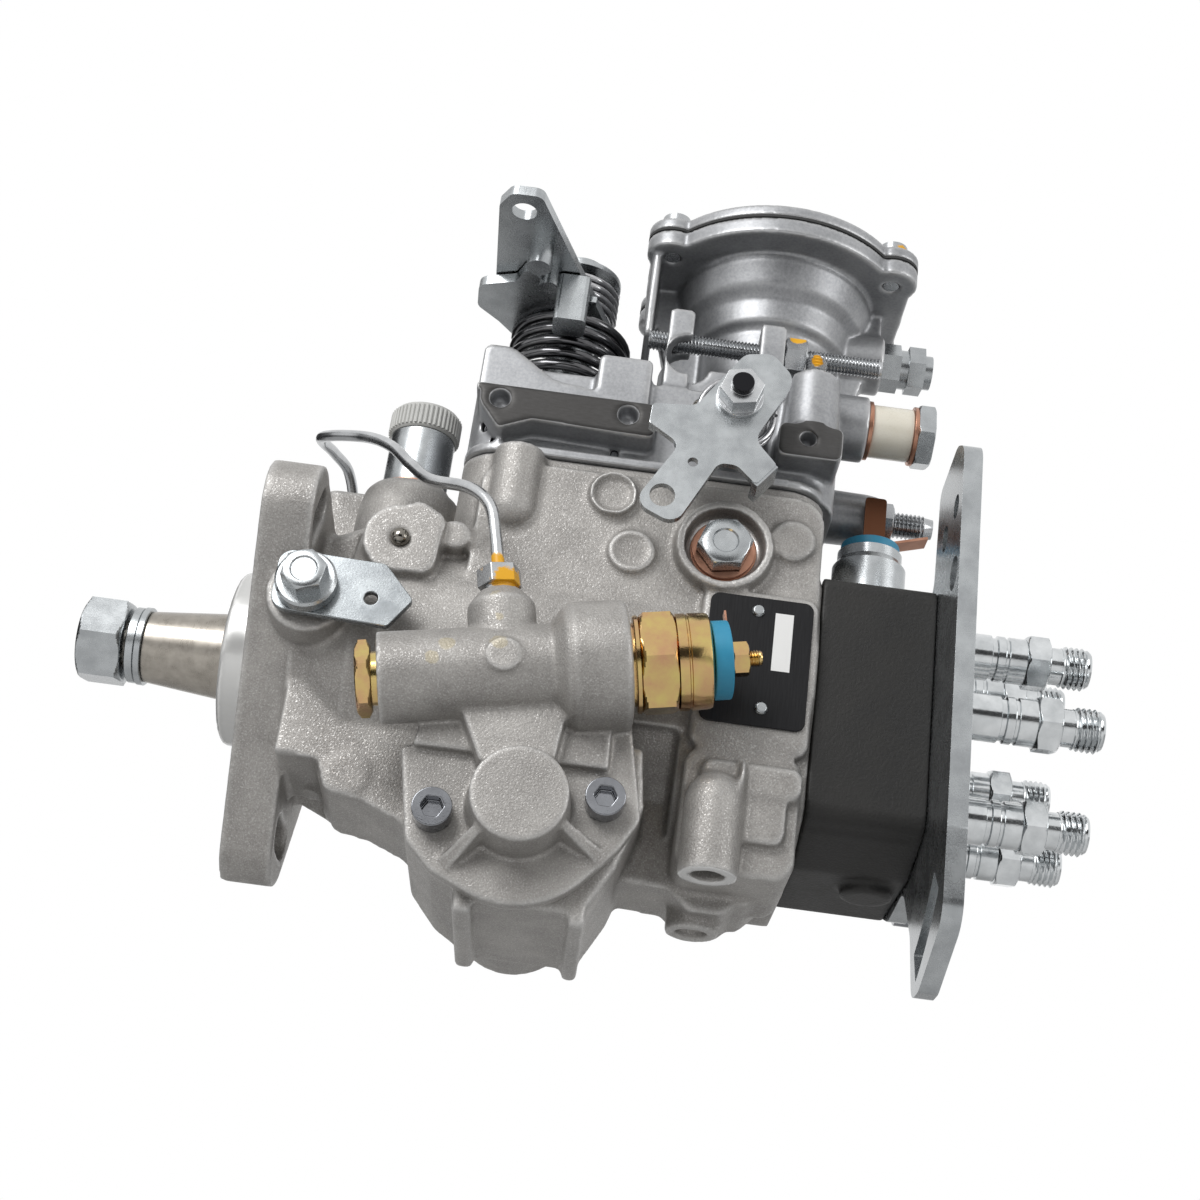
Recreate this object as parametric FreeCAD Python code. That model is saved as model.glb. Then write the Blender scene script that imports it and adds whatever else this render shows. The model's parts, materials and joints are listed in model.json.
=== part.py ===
import FreeCAD, Part
import math
import os

# Rotary distributor diesel injection pump for six cylinders, millimetres.
# The origin lies on the drive shaft's axis at the mounting face of the flange.
# +X points to the outlets, +Y to the engine side, +Z up.

RUNNING_GAP = 0.05          # radial clearance of shafts and pistons in their bores
FACE_GAP = 0.3              # free gap between pieces that move past each other

# Drive shaft
SHAFT_R = 12.5
TAPER_SMALL_R = 10.0
TAPER_START_X = -33.0
TAPER_END_X = -8.0
SHAFT_THREAD_R = 6.9
SHAFT_FRONT_X = -52.0
SHAFT_REAR_X = 84.0
SHAFT_JAW_X = 90.0
NUT_AF = 22.0
NUT_X = -51.0
NUT_LENGTH = 12.5
WASHER_R = 11.0
WASHER_T = 1.9
WASHER_BORE_R = 7.2

# Mounting flange
FLANGE_T = 14.0
EAR_CIRCLE_R = 50.0
EAR_R = 13.0
EAR_ANGLES = (25.0, 147.0, 272.0)
SLOT_W = 9.4
SLOT_HALF_ANGLE = 6.5
PILOT_R = 24.5
PILOT_X = -8.5

# Housing drum and its bores
NECK_R = 30.0
NECK_END_X = 20.0
DRUM_R = 43.5
DRUM_START_X = 28.0
HOUSING_END_X = 150.0
SEAL_BORE_R = 18.0
BUSH_BORE_R = 14.5
BUSH_START_X = -2.0
PUMP_BORE_START_X = 33.0
PUMP_BORE_R = 31.0
CHAMBER_START_X = 52.0
CHAMBER_R = 29.5
CAM_ROOM_X = 68.0

# Upper compartment of the housing
BOX_X0 = 48.0
BOX_X1 = 150.0
BOX_HALF_Y = 38.0
BOX_CORNER_R = 12.0
JOINT_Z = 56.0
BOX_LOW_Z = -14.0
ROOM_X0 = 54.0
ROOM_X1 = 143.0
ROOM_HALF_Y = 28.0
ROOM_TOP_Z = 80.0
ROOM_LOW_Z = 4.0
SIDE_Y = -44.0              # machined and cast faces of the near side

# Feed pump
PUMP_RING_W = 14.0
PUMP_PLATE_W = 5.0
PUMP_ECCENTRIC = 2.0
PUMP_RING_BORE_R = 22.6
PUMP_ROTOR_R = 20.2
VANE_T = 3.0

# Governor
GEAR_X0 = 54.2
GEAR_W = 7.0
DRIVE_TEETH = 36
GOVERNOR_TEETH = 30
GEAR_MODULE = 1.5
GOVERNOR_SHAFT_R = 4.0
GOVERNOR_SHAFT_X0 = 46.5
GOVERNOR_SHAFT_X1 = 113.0
CAGE_X1 = 84.0
POST_IN = 7.6
POST_OUT = 12.0
WEIGHT_PIVOT_X = 66.0
WEIGHT_PIVOT_R = 13.0
WEIGHT_PIN_R = 1.5
WEIGHT_HALF_W = 6.6
SLEEVE_X0 = 69.2
SLEEVE_R = 7.0
SLEEVE_COLLAR_R = 9.2
SLEEVE_COLLAR_W = 2.5
LEVER_PIVOT_X = 122.3
LEVER_PIVOT_Z = 32.5
LEVER_T = 2.5
LEVER_PIVOT_R = 3.0

# Cam drive and plunger
RING_X0 = 71.0
RING_X1 = 85.0
RING_R = 27.5
RING_BORE_R = 14.5
ROLLER_R = 5.0
ROLLER_COUNT = 4
CAM_LIFT = 2.2
CAM_X0 = 92.5
CAM_T = 8.0
CAM_R = 26.5
CAM_LOBES = 6
PLUNGER_R = 6.0
PLUNGER_X1 = 176.0
BARREL_R = 12.0
BARREL_X0 = 138.0
BARREL_X1 = 186.0
SPOOL_R = 11.0
SPOOL_W = 12.0
SPOOL_GROOVE_R = 8.4
SPOOL_GROOVE_W = 5.4
BALL_PIN_R = 2.4

# Timing device
TIMING_X = 78.5
TIMING_Z = -52.0
TIMING_BORE_R = 12.0
TIMING_OUTER_R = 18.0
FAR_COVER_R = 14.0
PISTON_LENGTH = 52.0
PISTON_TRAVEL = 7.0
PISTON_BOWL = 9.0
TIMING_PIN_R = 4.0
TIMING_BLOCK_Y = -50.0      # near face of the housing's timing block
TIMING_FAR_Y = 36.0
COVER_T = 5.0
FAR_SCREW_REACH = 18.5      # far timing cover's screws from the piston's axis
FAR_SCREW_ANGLES = (62.0, 118.0)
TILT = -11.5                # the whole device stands turned about Y

# Distributor head
HEAD_X1 = 181.0
HEAD_HALF_Y = 40.0
HEAD_TOP_Z = 30.0
HEAD_LOW_Z = -50.0
HEAD_CHAMFER_Z = -35.0
OUTLET_CIRCLE_R = 28.1
OUTLET_COUNT = 6
OUTLET_END_X = 228.65
OUTLET_THREAD_R = 6.0
OUTLET_THREAD_L = 8.0
OUTLET_NECK_R = 5.15
OUTLET_NECK_L = 3.6
OUTLET_HEX_AF = 14.0
OUTLET_HEX_L = 6.6
OUTLET_BODY_R = 6.4
OUTLET_DEPTH = 9.0
OUTLET_BORE_R = 1.6
OUTLET_BORE_L = 12.0

# Rear bracket
BRACKET_X = 181.0
BRACKET_T = 5.0
BRACKET_NEAR_Y = -66.5
BRACKET_OPENING_R = 37.8
BRACKET_SLOT_R = 80.0
BRACKET_SLOT_W = 9.0

# Governor cover
RAIL_X0 = 50.6
RAIL_X1 = 100.0
RAIL_Z0 = 63.0
RAIL_Z1 = 74.0
COVER_TOP_Z = 86.0
COVER_WALL_Y = -35.0        # recessed wall below the rail
ROD_Z = 105.9
ROD_Y = -27.0
ROD_R = 3.0

FULL_LOAD_R = 4.0
FULL_LOAD_Y = 6.0
FULL_LOAD_Z = 73.4

# Throttle
THROTTLE_X = 71.5
THROTTLE_Y = 0.0
THROTTLE_SHAFT_R = 5.0
BIG_SPRING_R = 17.0
BIG_SPRING_WIRE_R = 1.6
BIG_SPRING_Z = 98.5
BIG_SPRING_TURNS = 5
BIG_SPRING_PITCH = 3.6
SMALL_SPRING_R = 11.8
SMALL_SPRING_WIRE_R = 1.1
SMALL_SPRING_Z = 127.0
SMALL_SPRING_TURNS = 4
SMALL_SPRING_PITCH = 2.7
COIL_STEPS = 12             # straight lengths in one turn of a spring
THROTTLE_LEVER_Z = 122.0
THROTTLE_LEVER_T = 3.0
THROTTLE_CAP_Z = 139.5

# Stop lever
STOP_X = 121.4
STOP_Z = 70.6
STOP_SHAFT_R = 4.0
STOP_LEVER_Y = -58.0
STOP_LEVER_T = 2.2
STOP_NUT_AF = 10.5

# Boost compensator
ANEROID_X = 132.3
ANEROID_R = 40.0
ANEROID_HALF_X = 39.8
ANEROID_LUG_X = 33.4
ANEROID_LUG_Y = 19.5
ANEROID_LUG_R = 7.8
ANEROID_FLANGE_Z = 140.5
ANEROID_JOINT_Z = 146.0
DIAPHRAGM_T = 0.8
ANEROID_TOP_Z = 150.5
ANEROID_NECK_R = 21.0
ANEROID_FLOOR_Z = 113.0
ANEROID_DISC_Z = 141.5
ANEROID_DISC_R = 19.0
ANEROID_TRAVEL = 4.0
ANEROID_PIN_R = 4.0
BOOST_SEAT_X = 167.0
BOOST_Z = 124.6
BOOST_AF = 13.0

# Overflow outlet
OVERFLOW_Y = -20.0
OVERFLOW_Z = 89.0
OVERFLOW_BOSS_R = 9.6
OVERFLOW_BOSS_X = 161.0
OVERFLOW_SLEEVE_R = 7.7
OVERFLOW_SLEEVE_L = 12.0
OVERFLOW_AF = 17.0
SEAL_T = 1.2

# Shut-off solenoid
SHUTOFF_X = 167.7
SHUTOFF_Y = 0.0
SHUTOFF_R = 10.7
SHUTOFF_TOP_Z = 58.5
ARMATURE_R = 4.0

# Cold start cover and valve
VALVE_Y = -60.0
VALVE_X0 = 39.5
VALVE_Z0 = -25.0
VALVE_R = 11.5
COLLAR_R = 16.5
COLLAR_START = 46.5
COLLAR_END = 62.3
SOLENOID_HEX_AT = 2.7       # from the collar's end face
SOLENOID_L = 20.8
INSULATOR_L = 4.6
TUBE_BOSS_R = 8.7
TUBE_BOSS_AT = 31.5
TUBE_BOSS_L = 17.5
TUBE_BOSS_CROWN = 4.0

# Fuel inlet
INLET_X = 32.3
INLET_Y = 0.0
INLET_SEAT_Z = 58.0
INLET_R = 9.5
INLET_L = 18.0
CAP_R = 10.8
CAP_T = 8.5

# Small fasteners
SCREW_R = 3.0
SCREW_HEAD_R = 5.0
SCREW_HEAD_H = 5.5
SCREW_SOCKET_AF = 5.0
BALL_R = 2.6
BALL_Y = -45.0

V = FreeCAD.Vector


def box(x0, x1, y0, y1, z0, z1):
    return Part.makeBox(x1 - x0, y1 - y0, z1 - z0, V(x0, y0, z0))


def cylinder_x(x0, x1, r, y=0.0, z=0.0):
    return Part.makeCylinder(r, x1 - x0, V(x0, y, z), V(1, 0, 0))


def cylinder_y(y0, y1, r, x, z):
    return Part.makeCylinder(r, y1 - y0, V(x, y0, z), V(0, 1, 0))


def cylinder_z(z0, z1, r, x, y):
    return Part.makeCylinder(r, z1 - z0, V(x, y, z0), V(0, 0, 1))


def fuse(shapes):
    """One clean solid from several that touch or overlap."""
    joined = shapes[0]
    if len(shapes) > 1:
        joined = shapes[0].fuse(shapes[1:])
    return joined.removeSplitter()


def lathe_x(points, y=0.0, z=0.0):
    """Solid of revolution about an axis along X from (x, radius) points."""
    first = V(points[0][0], y, z)
    last = V(points[-1][0], y, z)
    outline = [first] + [V(x, y, z + r) for x, r in points] + [last, first]
    face = Part.Face(Part.makePolygon(outline))
    return face.revolve(V(0, y, z), V(1, 0, 0), 360)


def lathe_z(points, x, y):
    """Solid of revolution about an upright axis from (z, radius) points."""
    first = V(x, y, points[0][0])
    last = V(x, y, points[-1][0])
    outline = [first] + [V(x + r, y, z) for z, r in points] + [last, first]
    face = Part.Face(Part.makePolygon(outline))
    return face.revolve(V(x, y, 0), V(0, 0, 1), 360)


def on_plane(axis, a, b, level):
    if axis == "X":
        return V(level, a, b)
    if axis == "Y":
        return V(a, level, b)
    return V(a, b, level)


def rounded_prism(axis, corners, start, end):
    """Prism along an axis; each corner is (a, b, radius) on the plane across it."""
    count = len(corners)
    edges = []
    arcs = []
    for i in range(count):
        ax, bx = corners[i - 1][:2]
        a, b, radius = corners[i]
        cx, dx = corners[(i + 1) % count][:2]
        u = FreeCAD.Vector(ax - a, bx - b, 0).normalize()
        w = FreeCAD.Vector(cx - a, dx - b, 0).normalize()
        if radius <= 0:
            arcs.append(((a, b), None, (a, b)))
            continue
        half = u.getAngle(w) / 2
        reach = radius / math.tan(half)
        bisector = (u + w).normalize()
        centre = (a + bisector.x * radius / math.sin(half), b + bisector.y * radius / math.sin(half))
        middle = (centre[0] - bisector.x * radius, centre[1] - bisector.y * radius)
        arcs.append(((a + u.x * reach, b + u.y * reach), middle, (a + w.x * reach, b + w.y * reach)))
    for i in range(count):
        begin, middle, finish = arcs[i]
        if middle is not None:
            three = [on_plane(axis, p[0], p[1], start) for p in (begin, middle, finish)]
            edges.append(Part.Arc(*three).toShape())
        one = on_plane(axis, finish[0], finish[1], start)
        two = on_plane(axis, arcs[(i + 1) % count][0][0], arcs[(i + 1) % count][0][1], start)
        if one.distanceToPoint(two) > 1e-6:
            edges.append(Part.LineSegment(one, two).toShape())
    face = Part.Face(Part.Wire(Part.__sortEdges__(edges)))
    return face.extrude(on_plane(axis, 0, 0, end - start))


def rounded_box(axis, a0, a1, b0, b1, start, end, radius):
    corners = [(a0, b0, radius), (a1, b0, radius), (a1, b1, radius), (a0, b1, radius)]
    return rounded_prism(axis, corners, start, end)


def hexagon(axis, start, end, across_flats, a, b, turn=0.0, chamfered=False):
    """Hexagonal prism, its outer corners chamfered at both ends where that is asked for."""
    corner_r = across_flats / math.sqrt(3)
    corners = []
    for i in range(6):
        angle = math.radians(turn + 60 * i)
        corners.append((a + corner_r * math.cos(angle), b + corner_r * math.sin(angle), 0))
    prism = rounded_prism(axis, corners, start, end)
    if not chamfered:
        return prism
    cut = corner_r * 0.09
    points = [(start, corner_r - cut), (start + cut * 0.6, corner_r), (end - cut * 0.6, corner_r), (end, corner_r - cut)]
    if axis == "X":
        return prism.common(lathe_x(points, a, b))
    if axis == "Z":
        return prism.common(lathe_z(points, a, b))
    turned = lathe_z(points, 0, 0)
    turned.rotate(V(0, 0, 0), V(1, 0, 0), -90)
    turned.translate(V(a, 0, b))
    return prism.common(turned)


def socket_screw(head_r, head_h, shank_r, shank_l, socket_af):
    """Socket cap screw along +Z with the seat of its head at the origin."""
    head = cylinder_z(0, head_h, head_r, 0, 0)
    socket = hexagon("Z", head_h * 0.45, head_h + 1, socket_af, 0, 0)
    return head.cut(socket).fuse(cylinder_z(-shank_l, 0, shank_r, 0, 0)).removeSplitter()


def place(shape, direction, point):
    """Turns a piece made along +Z into a direction and moves it to its seat."""
    copy = shape.copy()
    turn = FreeCAD.Rotation(V(0, 0, 1), direction)
    copy.Placement = FreeCAD.Placement(point, turn)
    return copy


def tilted(shape):
    """Turns a piece of the timing device about its piston's axis."""
    copy = shape.copy()
    copy.rotate(V(TIMING_X, 0, TIMING_Z), V(0, 1, 0), TILT)
    return copy


def tilted_point(x, z):
    """Place of a point of the timing device after its turn about the piston's axis."""
    angle = math.radians(-TILT)
    dx = x - TIMING_X
    dz = z - TIMING_Z
    return (TIMING_X + dx * math.cos(angle) - dz * math.sin(angle),
            TIMING_Z + dx * math.sin(angle) + dz * math.cos(angle))


def ring(axis, start, end, outer, inner, a=0.0, b=0.0):
    makers = {"X": cylinder_x, "Y": cylinder_y, "Z": cylinder_z}
    make = makers[axis]
    return make(start, end, outer, a, b).cut(make(start - 1, end + 1, inner, a, b))


def coil(centre_r, wire_r, pitch, turns, x, y, z):
    """Helical spring about an upright axis with a five-sided wire, its lowest wire centre at z."""
    sides = 5
    steps = COIL_STEPS * turns
    rings = []
    for k in range(steps + 1):
        angle = 2 * math.pi * k / COIL_STEPS
        height = z + pitch * k / COIL_STEPS
        section = []
        for j in range(sides):
            turn = 2 * math.pi * j / sides
            reach = centre_r + wire_r * math.cos(turn)
            section.append(V(x + reach * math.cos(angle), y + reach * math.sin(angle), height + wire_r * math.sin(turn)))
        rings.append(section)
    faces = [Part.Face(Part.makePolygon(end + [end[0]])) for end in (rings[0], rings[-1])]
    for k in range(steps):
        for j in range(sides):
            a, b = rings[k][j], rings[k][(j + 1) % sides]
            c, d = rings[k + 1][(j + 1) % sides], rings[k + 1][j]
            faces.append(Part.Face(Part.makePolygon([a, b, c, a])))
            faces.append(Part.Face(Part.makePolygon([a, c, d, a])))
    return Part.makeSolid(Part.makeShell(faces))


def bent_tube(points, bend_r, tube_r):
    """Tube along straight runs joined by tangent arcs."""
    edges = []
    last = points[0]
    for i in range(1, len(points) - 1):
        corner = points[i]
        back = (points[i - 1] - corner).normalize()
        ahead = (points[i + 1] - corner).normalize()
        half = back.getAngle(ahead) / 2
        room = 0.45 * min((points[i - 1] - corner).Length, (points[i + 1] - corner).Length)
        reach = min(bend_r / math.tan(half), room)
        radius = reach * math.tan(half)
        bisector = (back + ahead).normalize()
        middle = corner + bisector * (radius / math.sin(half) - radius)
        begin = corner + back * reach
        finish = corner + ahead * reach
        edges.append(Part.LineSegment(last, begin).toShape())
        edges.append(Part.Arc(begin, middle, finish).toShape())
        last = finish
    edges.append(Part.LineSegment(last, points[-1]).toShape())
    start = Part.Circle(points[0], points[1] - points[0], tube_r)
    return Part.Wire(edges).makePipeShell([Part.Wire(start.toShape())], True, True)


# Flange and main casting

def flange_plate():
    """Plate whose straight edges run tangent to the three round ears."""
    corners = []
    for angle in EAR_ANGLES:
        corners.append((EAR_CIRCLE_R * math.cos(math.radians(angle)), EAR_CIRCLE_R * math.sin(math.radians(angle))))
    edges = []
    tangents = []
    for i in range(3):
        a, b = corners[i]
        c, d = corners[(i + 1) % 3]
        run = math.hypot(c - a, d - b)
        out = ((d - b) / run * EAR_R, -(c - a) / run * EAR_R)
        tangents.append(((a + out[0], b + out[1]), (c + out[0], d + out[1])))
    for i in range(3):
        begin, finish = tangents[i]
        edges.append(Part.LineSegment(V(0, *begin), V(0, *finish)).toShape())
        centre = corners[(i + 1) % 3]
        reach = math.hypot(*centre)
        tip = (centre[0] * (1 + EAR_R / reach), centre[1] * (1 + EAR_R / reach))
        edges.append(Part.Arc(V(0, *finish), V(0, *tip), V(0, *tangents[(i + 1) % 3][0])).toShape())
    return Part.Face(Part.Wire(Part.__sortEdges__(edges))).extrude(V(FLANGE_T, 0, 0))


def flange_slot(angle):
    """Arc-shaped slot that lets the pump be turned for timing."""
    inner = EAR_CIRCLE_R - SLOT_W / 2
    outer = EAR_CIRCLE_R + SLOT_W / 2
    band = ring("X", -1, FLANGE_T + 1, outer, inner)
    reach = 2 * EAR_CIRCLE_R
    spread = math.tan(math.radians(SLOT_HALF_ANGLE)) * reach
    wedge = rounded_prism("X", [(0, 0, 0), (reach, -spread, 0), (reach, spread, 0)], -1, FLANGE_T + 1)
    slot = band.common(wedge)
    for side in (-1, 1):
        end = cylinder_x(-1, FLANGE_T + 1, SLOT_W / 2, EAR_CIRCLE_R, 0)
        end.rotate(V(0, 0, 0), V(1, 0, 0), side * SLOT_HALF_ANGLE)
        slot = slot.fuse(end)
    slot.rotate(V(0, 0, 0), V(1, 0, 0), angle)
    return slot


def make_flange():
    body = flange_plate()
    for angle in EAR_ANGLES:
        body = body.cut(flange_slot(angle))
    return body


def make_drum():
    """Neck that opens into the drum, and the wall towards the head."""
    neck = lathe_x([(FLANGE_T - 2, NECK_R), (NECK_END_X, NECK_R + 1.5), (DRUM_START_X, DRUM_R),
                    (HOUSING_END_X, DRUM_R)])
    pilot = lathe_x([(PILOT_X, PILOT_R - 1), (PILOT_X + 1, PILOT_R), (1, PILOT_R)])
    return neck.fuse(pilot)


def make_upper_box():
    outer = rounded_box("Z", BOX_X0, BOX_X1, -BOX_HALF_Y, BOX_HALF_Y, BOX_LOW_Z, JOINT_Z, BOX_CORNER_R)
    return outer


def head_end_block():
    """Square end of the casting that carries the distributor head."""
    return rounded_prism("X", [(-HEAD_HALF_Y, HEAD_CHAMFER_Z, 6), (-18, HEAD_LOW_Z - 2, 10), (18, HEAD_LOW_Z - 2, 10),
                               (HEAD_HALF_Y, HEAD_CHAMFER_Z, 6), (HEAD_HALF_Y, HEAD_TOP_Z, 6),
                               (-HEAD_HALF_Y, HEAD_TOP_Z, 6)], HOUSING_END_X - 34, HOUSING_END_X)


def timing_block():
    """Cross barrel for the timing piston with the walls and ribs below it."""
    barrel = cylinder_y(TIMING_BLOCK_Y, TIMING_FAR_Y, TIMING_OUTER_R, TIMING_X, TIMING_Z)
    walls = rounded_prism("Y", [(50, -33, 0), (51, -60, 3), (59, -69, 4), (69, -75, 2), (97, -75, 2), (104, -62, 4),
                                (109, -46, 4), (107, -30, 0)], TIMING_BLOCK_Y, 3)
    left = rounded_box("Y", 65.5, 70.5, -78, -60, TIMING_BLOCK_Y, 3, 1.5)
    right = rounded_box("Y", 94, 98, -78, -60, TIMING_BLOCK_Y, 3, 1.5)
    lugs = [cylinder_y(10, TIMING_FAR_Y, 5.5, x, z) for x, z in far_timing_screws()]
    return barrel.fuse([walls, left, right] + lugs)


def side_web():
    """Cast wall between the neck and the timing barrel, and the lobe below the head end."""
    web = rounded_prism("Y", [(20, -26, 0), (25.5, -43.5, 4), (37.3, -47, 8), (48.3, -52.3, 8), (57, -62, 2), (60, -20, 0)],
                        -30, 0)
    lobe = rounded_prism("Y", [(110, -30, 0), (112, -44, 3), (119, -53, 4), (123, -60, 4), (138.7, -60, 5),
                               (147.4, -50.6, 3), (149, -30, 0)], -26, 0)
    return [web, lobe]


def far_shoulder():
    """Shoulder beside the inlet and the boss that the fuel tube's far end is screwed into."""
    shoulder = rounded_box("Z", 5, 23, 6, 22, 10, 61.0, 5)
    boss = cylinder_z(10, FAR_NUT_Z, 7.5, *FAR_NUT_XY)
    return [shoulder, boss]


def side_boss(x, z, r, base_y, face_y):
    """Round cast boss on the near side with a slight draft."""
    boss = Part.makeCone(r + 1.2, r, base_y - face_y, V(x, base_y, z), V(0, -1, 0))
    return boss


LIFT_XZ = (16.0, 1.5)
PLATE_PAD = (118.3, 149.2, -25.0, 20.4)
BALL_BOSS = (36.5, 22.0, 10.0)
BOLT_BOSS_R = 13.0
BOLT_RECESS_R = 10.8
FAR_NUT_XY = (11.0, 28.0)
FAR_NUT_Z = 57.0
FAR_BOLT_Y = 41.0
PORT_X = 126.4
PORT_R = 7.5
DRAIN_X = 126.0


def near_side_details():
    pad = rounded_box("Y", *PLATE_PAD, SIDE_Y, -20, 4)
    bolt = side_boss(LEVER_PIVOT_X, LEVER_PIVOT_Z, BOLT_BOSS_R, -30, SIDE_Y - 2)
    spot = side_boss(91.0, 44.9, 6.4, -30, SIDE_Y + 0.5)
    shallow = side_boss(97.8, 28.5, 6.2, -30, SIDE_Y + 1)
    column = cylinder_z(38, JOINT_Z, 7.0, 64.1, SIDE_Y + 5).fuse(Part.makeSphere(7.0, V(64.1, SIDE_Y + 5, 38)))
    disc = side_boss(140.7, 37.9, 6.0, -30, SIDE_Y + 1)
    wall = rounded_box("Y", 55, 149, -20, 52, SIDE_Y + 3, -20, 8)
    port = cylinder_z(-58.5, -33, PORT_R, PORT_X, SIDE_Y - 3)
    crown = Part.makeSphere(PORT_R, V(PORT_X, SIDE_Y - 3, -33))
    arm = rounded_box("Y", 118, 148, -58, -25, SIDE_Y, -10, 5)
    nose = rounded_box("Y", 132, 144.5, -50, -36, SIDE_Y - 3, -20, 3)
    far_bolt = cylinder_y(20, FAR_BOLT_Y, 11.0, LEVER_PIVOT_X, LEVER_PIVOT_Z)
    drain = cylinder_z(-66, -30, 7.0, DRAIN_X, -14)
    ball = side_boss(*BALL_BOSS, -10, -46)
    return [pad, bolt, spot, shallow, column, disc, wall, port, crown, arm, nose, far_bolt, drain, ball]


def near_side_cuts():
    x, z, _ = BALL_BOSS
    recess = cylinder_y(SIDE_Y - 5, SIDE_Y + 3.5, BOLT_RECESS_R, LEVER_PIVOT_X, LEVER_PIVOT_Z)
    pivot = cylinder_y(SIDE_Y - 5, -ROOM_HALF_Y + 2, LEVER_PIVOT_R, LEVER_PIVOT_X, LEVER_PIVOT_Z)
    spot = cylinder_y(SIDE_Y - 5, SIDE_Y + 2, 5.7, 91.0, 44.9)
    shallow = cylinder_y(SIDE_Y - 5, SIDE_Y + 1.8, 5.2, 97.8, 28.5)
    port = cylinder_z(-60, -42, 4.2, PORT_X, SIDE_Y - 3)
    drain = cylinder_z(-67, -54, 4.2, DRAIN_X, -14)
    ball = cylinder_y(-47, BALL_Y + BALL_R, BALL_R, x, z).fuse(cylinder_y(-47, BALL_Y, BALL_R + 0.5, x, z))
    return [recess, pivot, spot, shallow, port, drain, ball]


def lifting_boss():
    """Boss on the flange's back that the lifting bracket is bolted to."""
    return cylinder_y(-48, -20, 11.0, *LIFT_XZ)


def inlet_boss():
    return lathe_z([(20, 16), (50, 15), (INLET_SEAT_Z - 2, 14), (INLET_SEAT_Z, 12.5)], INLET_X, INLET_Y)


def make_pump_housing():
    body = make_flange().fuse([make_drum(), make_upper_box(), head_end_block(), inlet_boss(), lifting_boss()])
    body = body.fuse(near_side_details())
    body = body.fuse([timing_block()] + side_web() + far_shoulder())
    body = body.cut(box(BOX_X0 - 6, BOX_X1 + 1, -70, 70, JOINT_Z, 90))
    cuts = near_side_cuts()
    cuts.append(cylinder_x(PILOT_X - 1, BUSH_START_X, SEAL_BORE_R))
    cuts.append(cylinder_x(BUSH_START_X - 1, PUMP_BORE_START_X + 1, BUSH_BORE_R))
    cuts.append(cylinder_x(PUMP_BORE_START_X, CHAMBER_START_X, PUMP_BORE_R))
    cuts.append(cylinder_x(CHAMBER_START_X, CAM_ROOM_X + 1, CHAMBER_R))
    cuts.append(cylinder_x(CAM_ROOM_X, HOUSING_END_X + 1, RING_R + RUNNING_GAP))
    cuts.append(rounded_box("Z", ROOM_X0, ROOM_X1, -ROOM_HALF_Y, ROOM_HALF_Y, ROOM_LOW_Z, JOINT_Z + 1, 5))
    cuts.append(cylinder_x(GOVERNOR_SHAFT_X0, ROOM_X0 + 1, GOVERNOR_SHAFT_R, 0, governor_z()))
    cuts.append(cylinder_y(TIMING_BLOCK_Y - 1, TIMING_FAR_Y + 1, TIMING_BORE_R, TIMING_X, TIMING_Z))
    pin_reach = TIMING_PIN_R + PISTON_TRAVEL + 2
    cuts.append(box(TIMING_X - pin_reach + 4, TIMING_X + pin_reach - 4, -pin_reach, pin_reach, TIMING_Z + 8, -20))
    cuts.append(cylinder_z(INLET_SEAT_Z - 12, INLET_SEAT_Z + 1, 5.0, INLET_X, INLET_Y))
    cuts.append(cylinder_y(-49, -36, 4.1, *LIFT_XZ))
    cuts.append(cylinder_y(ROOM_HALF_Y - 2, FAR_BOLT_Y + 1, LEVER_PIVOT_R, LEVER_PIVOT_X, LEVER_PIVOT_Z))
    for point, direction in screw_holes_in_housing():
        cuts.append(place(cylinder_z(-12.5, 1, SCREW_R, 0, 0), direction, point))
    return body.cut(cuts).removeSplitter()


def governor_z():
    """Height of the governor's shaft, from the mesh of its two gears."""
    return GEAR_MODULE * (DRIVE_TEETH + GOVERNOR_TEETH) / 2


# Governor cover with the lower half of the boost compensator

COVER_SCREW_XY = ((57.5, -31.5), (89.7, -31.5), (57.5, 31.0), (143.5, 31.0))


def cover_base():
    base = rounded_box("Z", BOX_X0, BOX_X1 + 3, COVER_WALL_Y, BOX_HALF_Y, JOINT_Z, COVER_TOP_Z, BOX_CORNER_R)
    skirt = rounded_box("Z", BOX_X0, BOX_X1, -BOX_HALF_Y - 1, BOX_HALF_Y + 1, JOINT_Z, JOINT_Z + 3, BOX_CORNER_R)
    return base.fuse(skirt)


def cover_rail():
    """Machined rail of the near side with the two upright blocks above it."""
    rail = rounded_prism("Y", [(RAIL_X0, RAIL_Z1, 1.5), (RAIL_X0, 68, 5), (57, RAIL_Z0 - 3, 1), (66, RAIL_Z0 + 1, 2),
                               (RAIL_X1, RAIL_Z0, 2), (RAIL_X1, RAIL_Z1, 1)], SIDE_Y, -30)
    left = rounded_prism("Y", [(49.4, RAIL_Z1 - 2, 0), (49.4, 89.5, 2), (57.5, 89.5, 6), (70, 80.5, 8), (82, 79, 2),
                               (82, RAIL_Z1 - 2, 0)], SIDE_Y, -24)
    right = rounded_box("Y", 82, 97.3, RAIL_Z1 - 4, 91, SIDE_Y, -22, 1.5)
    return [rail, left, right]


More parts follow.
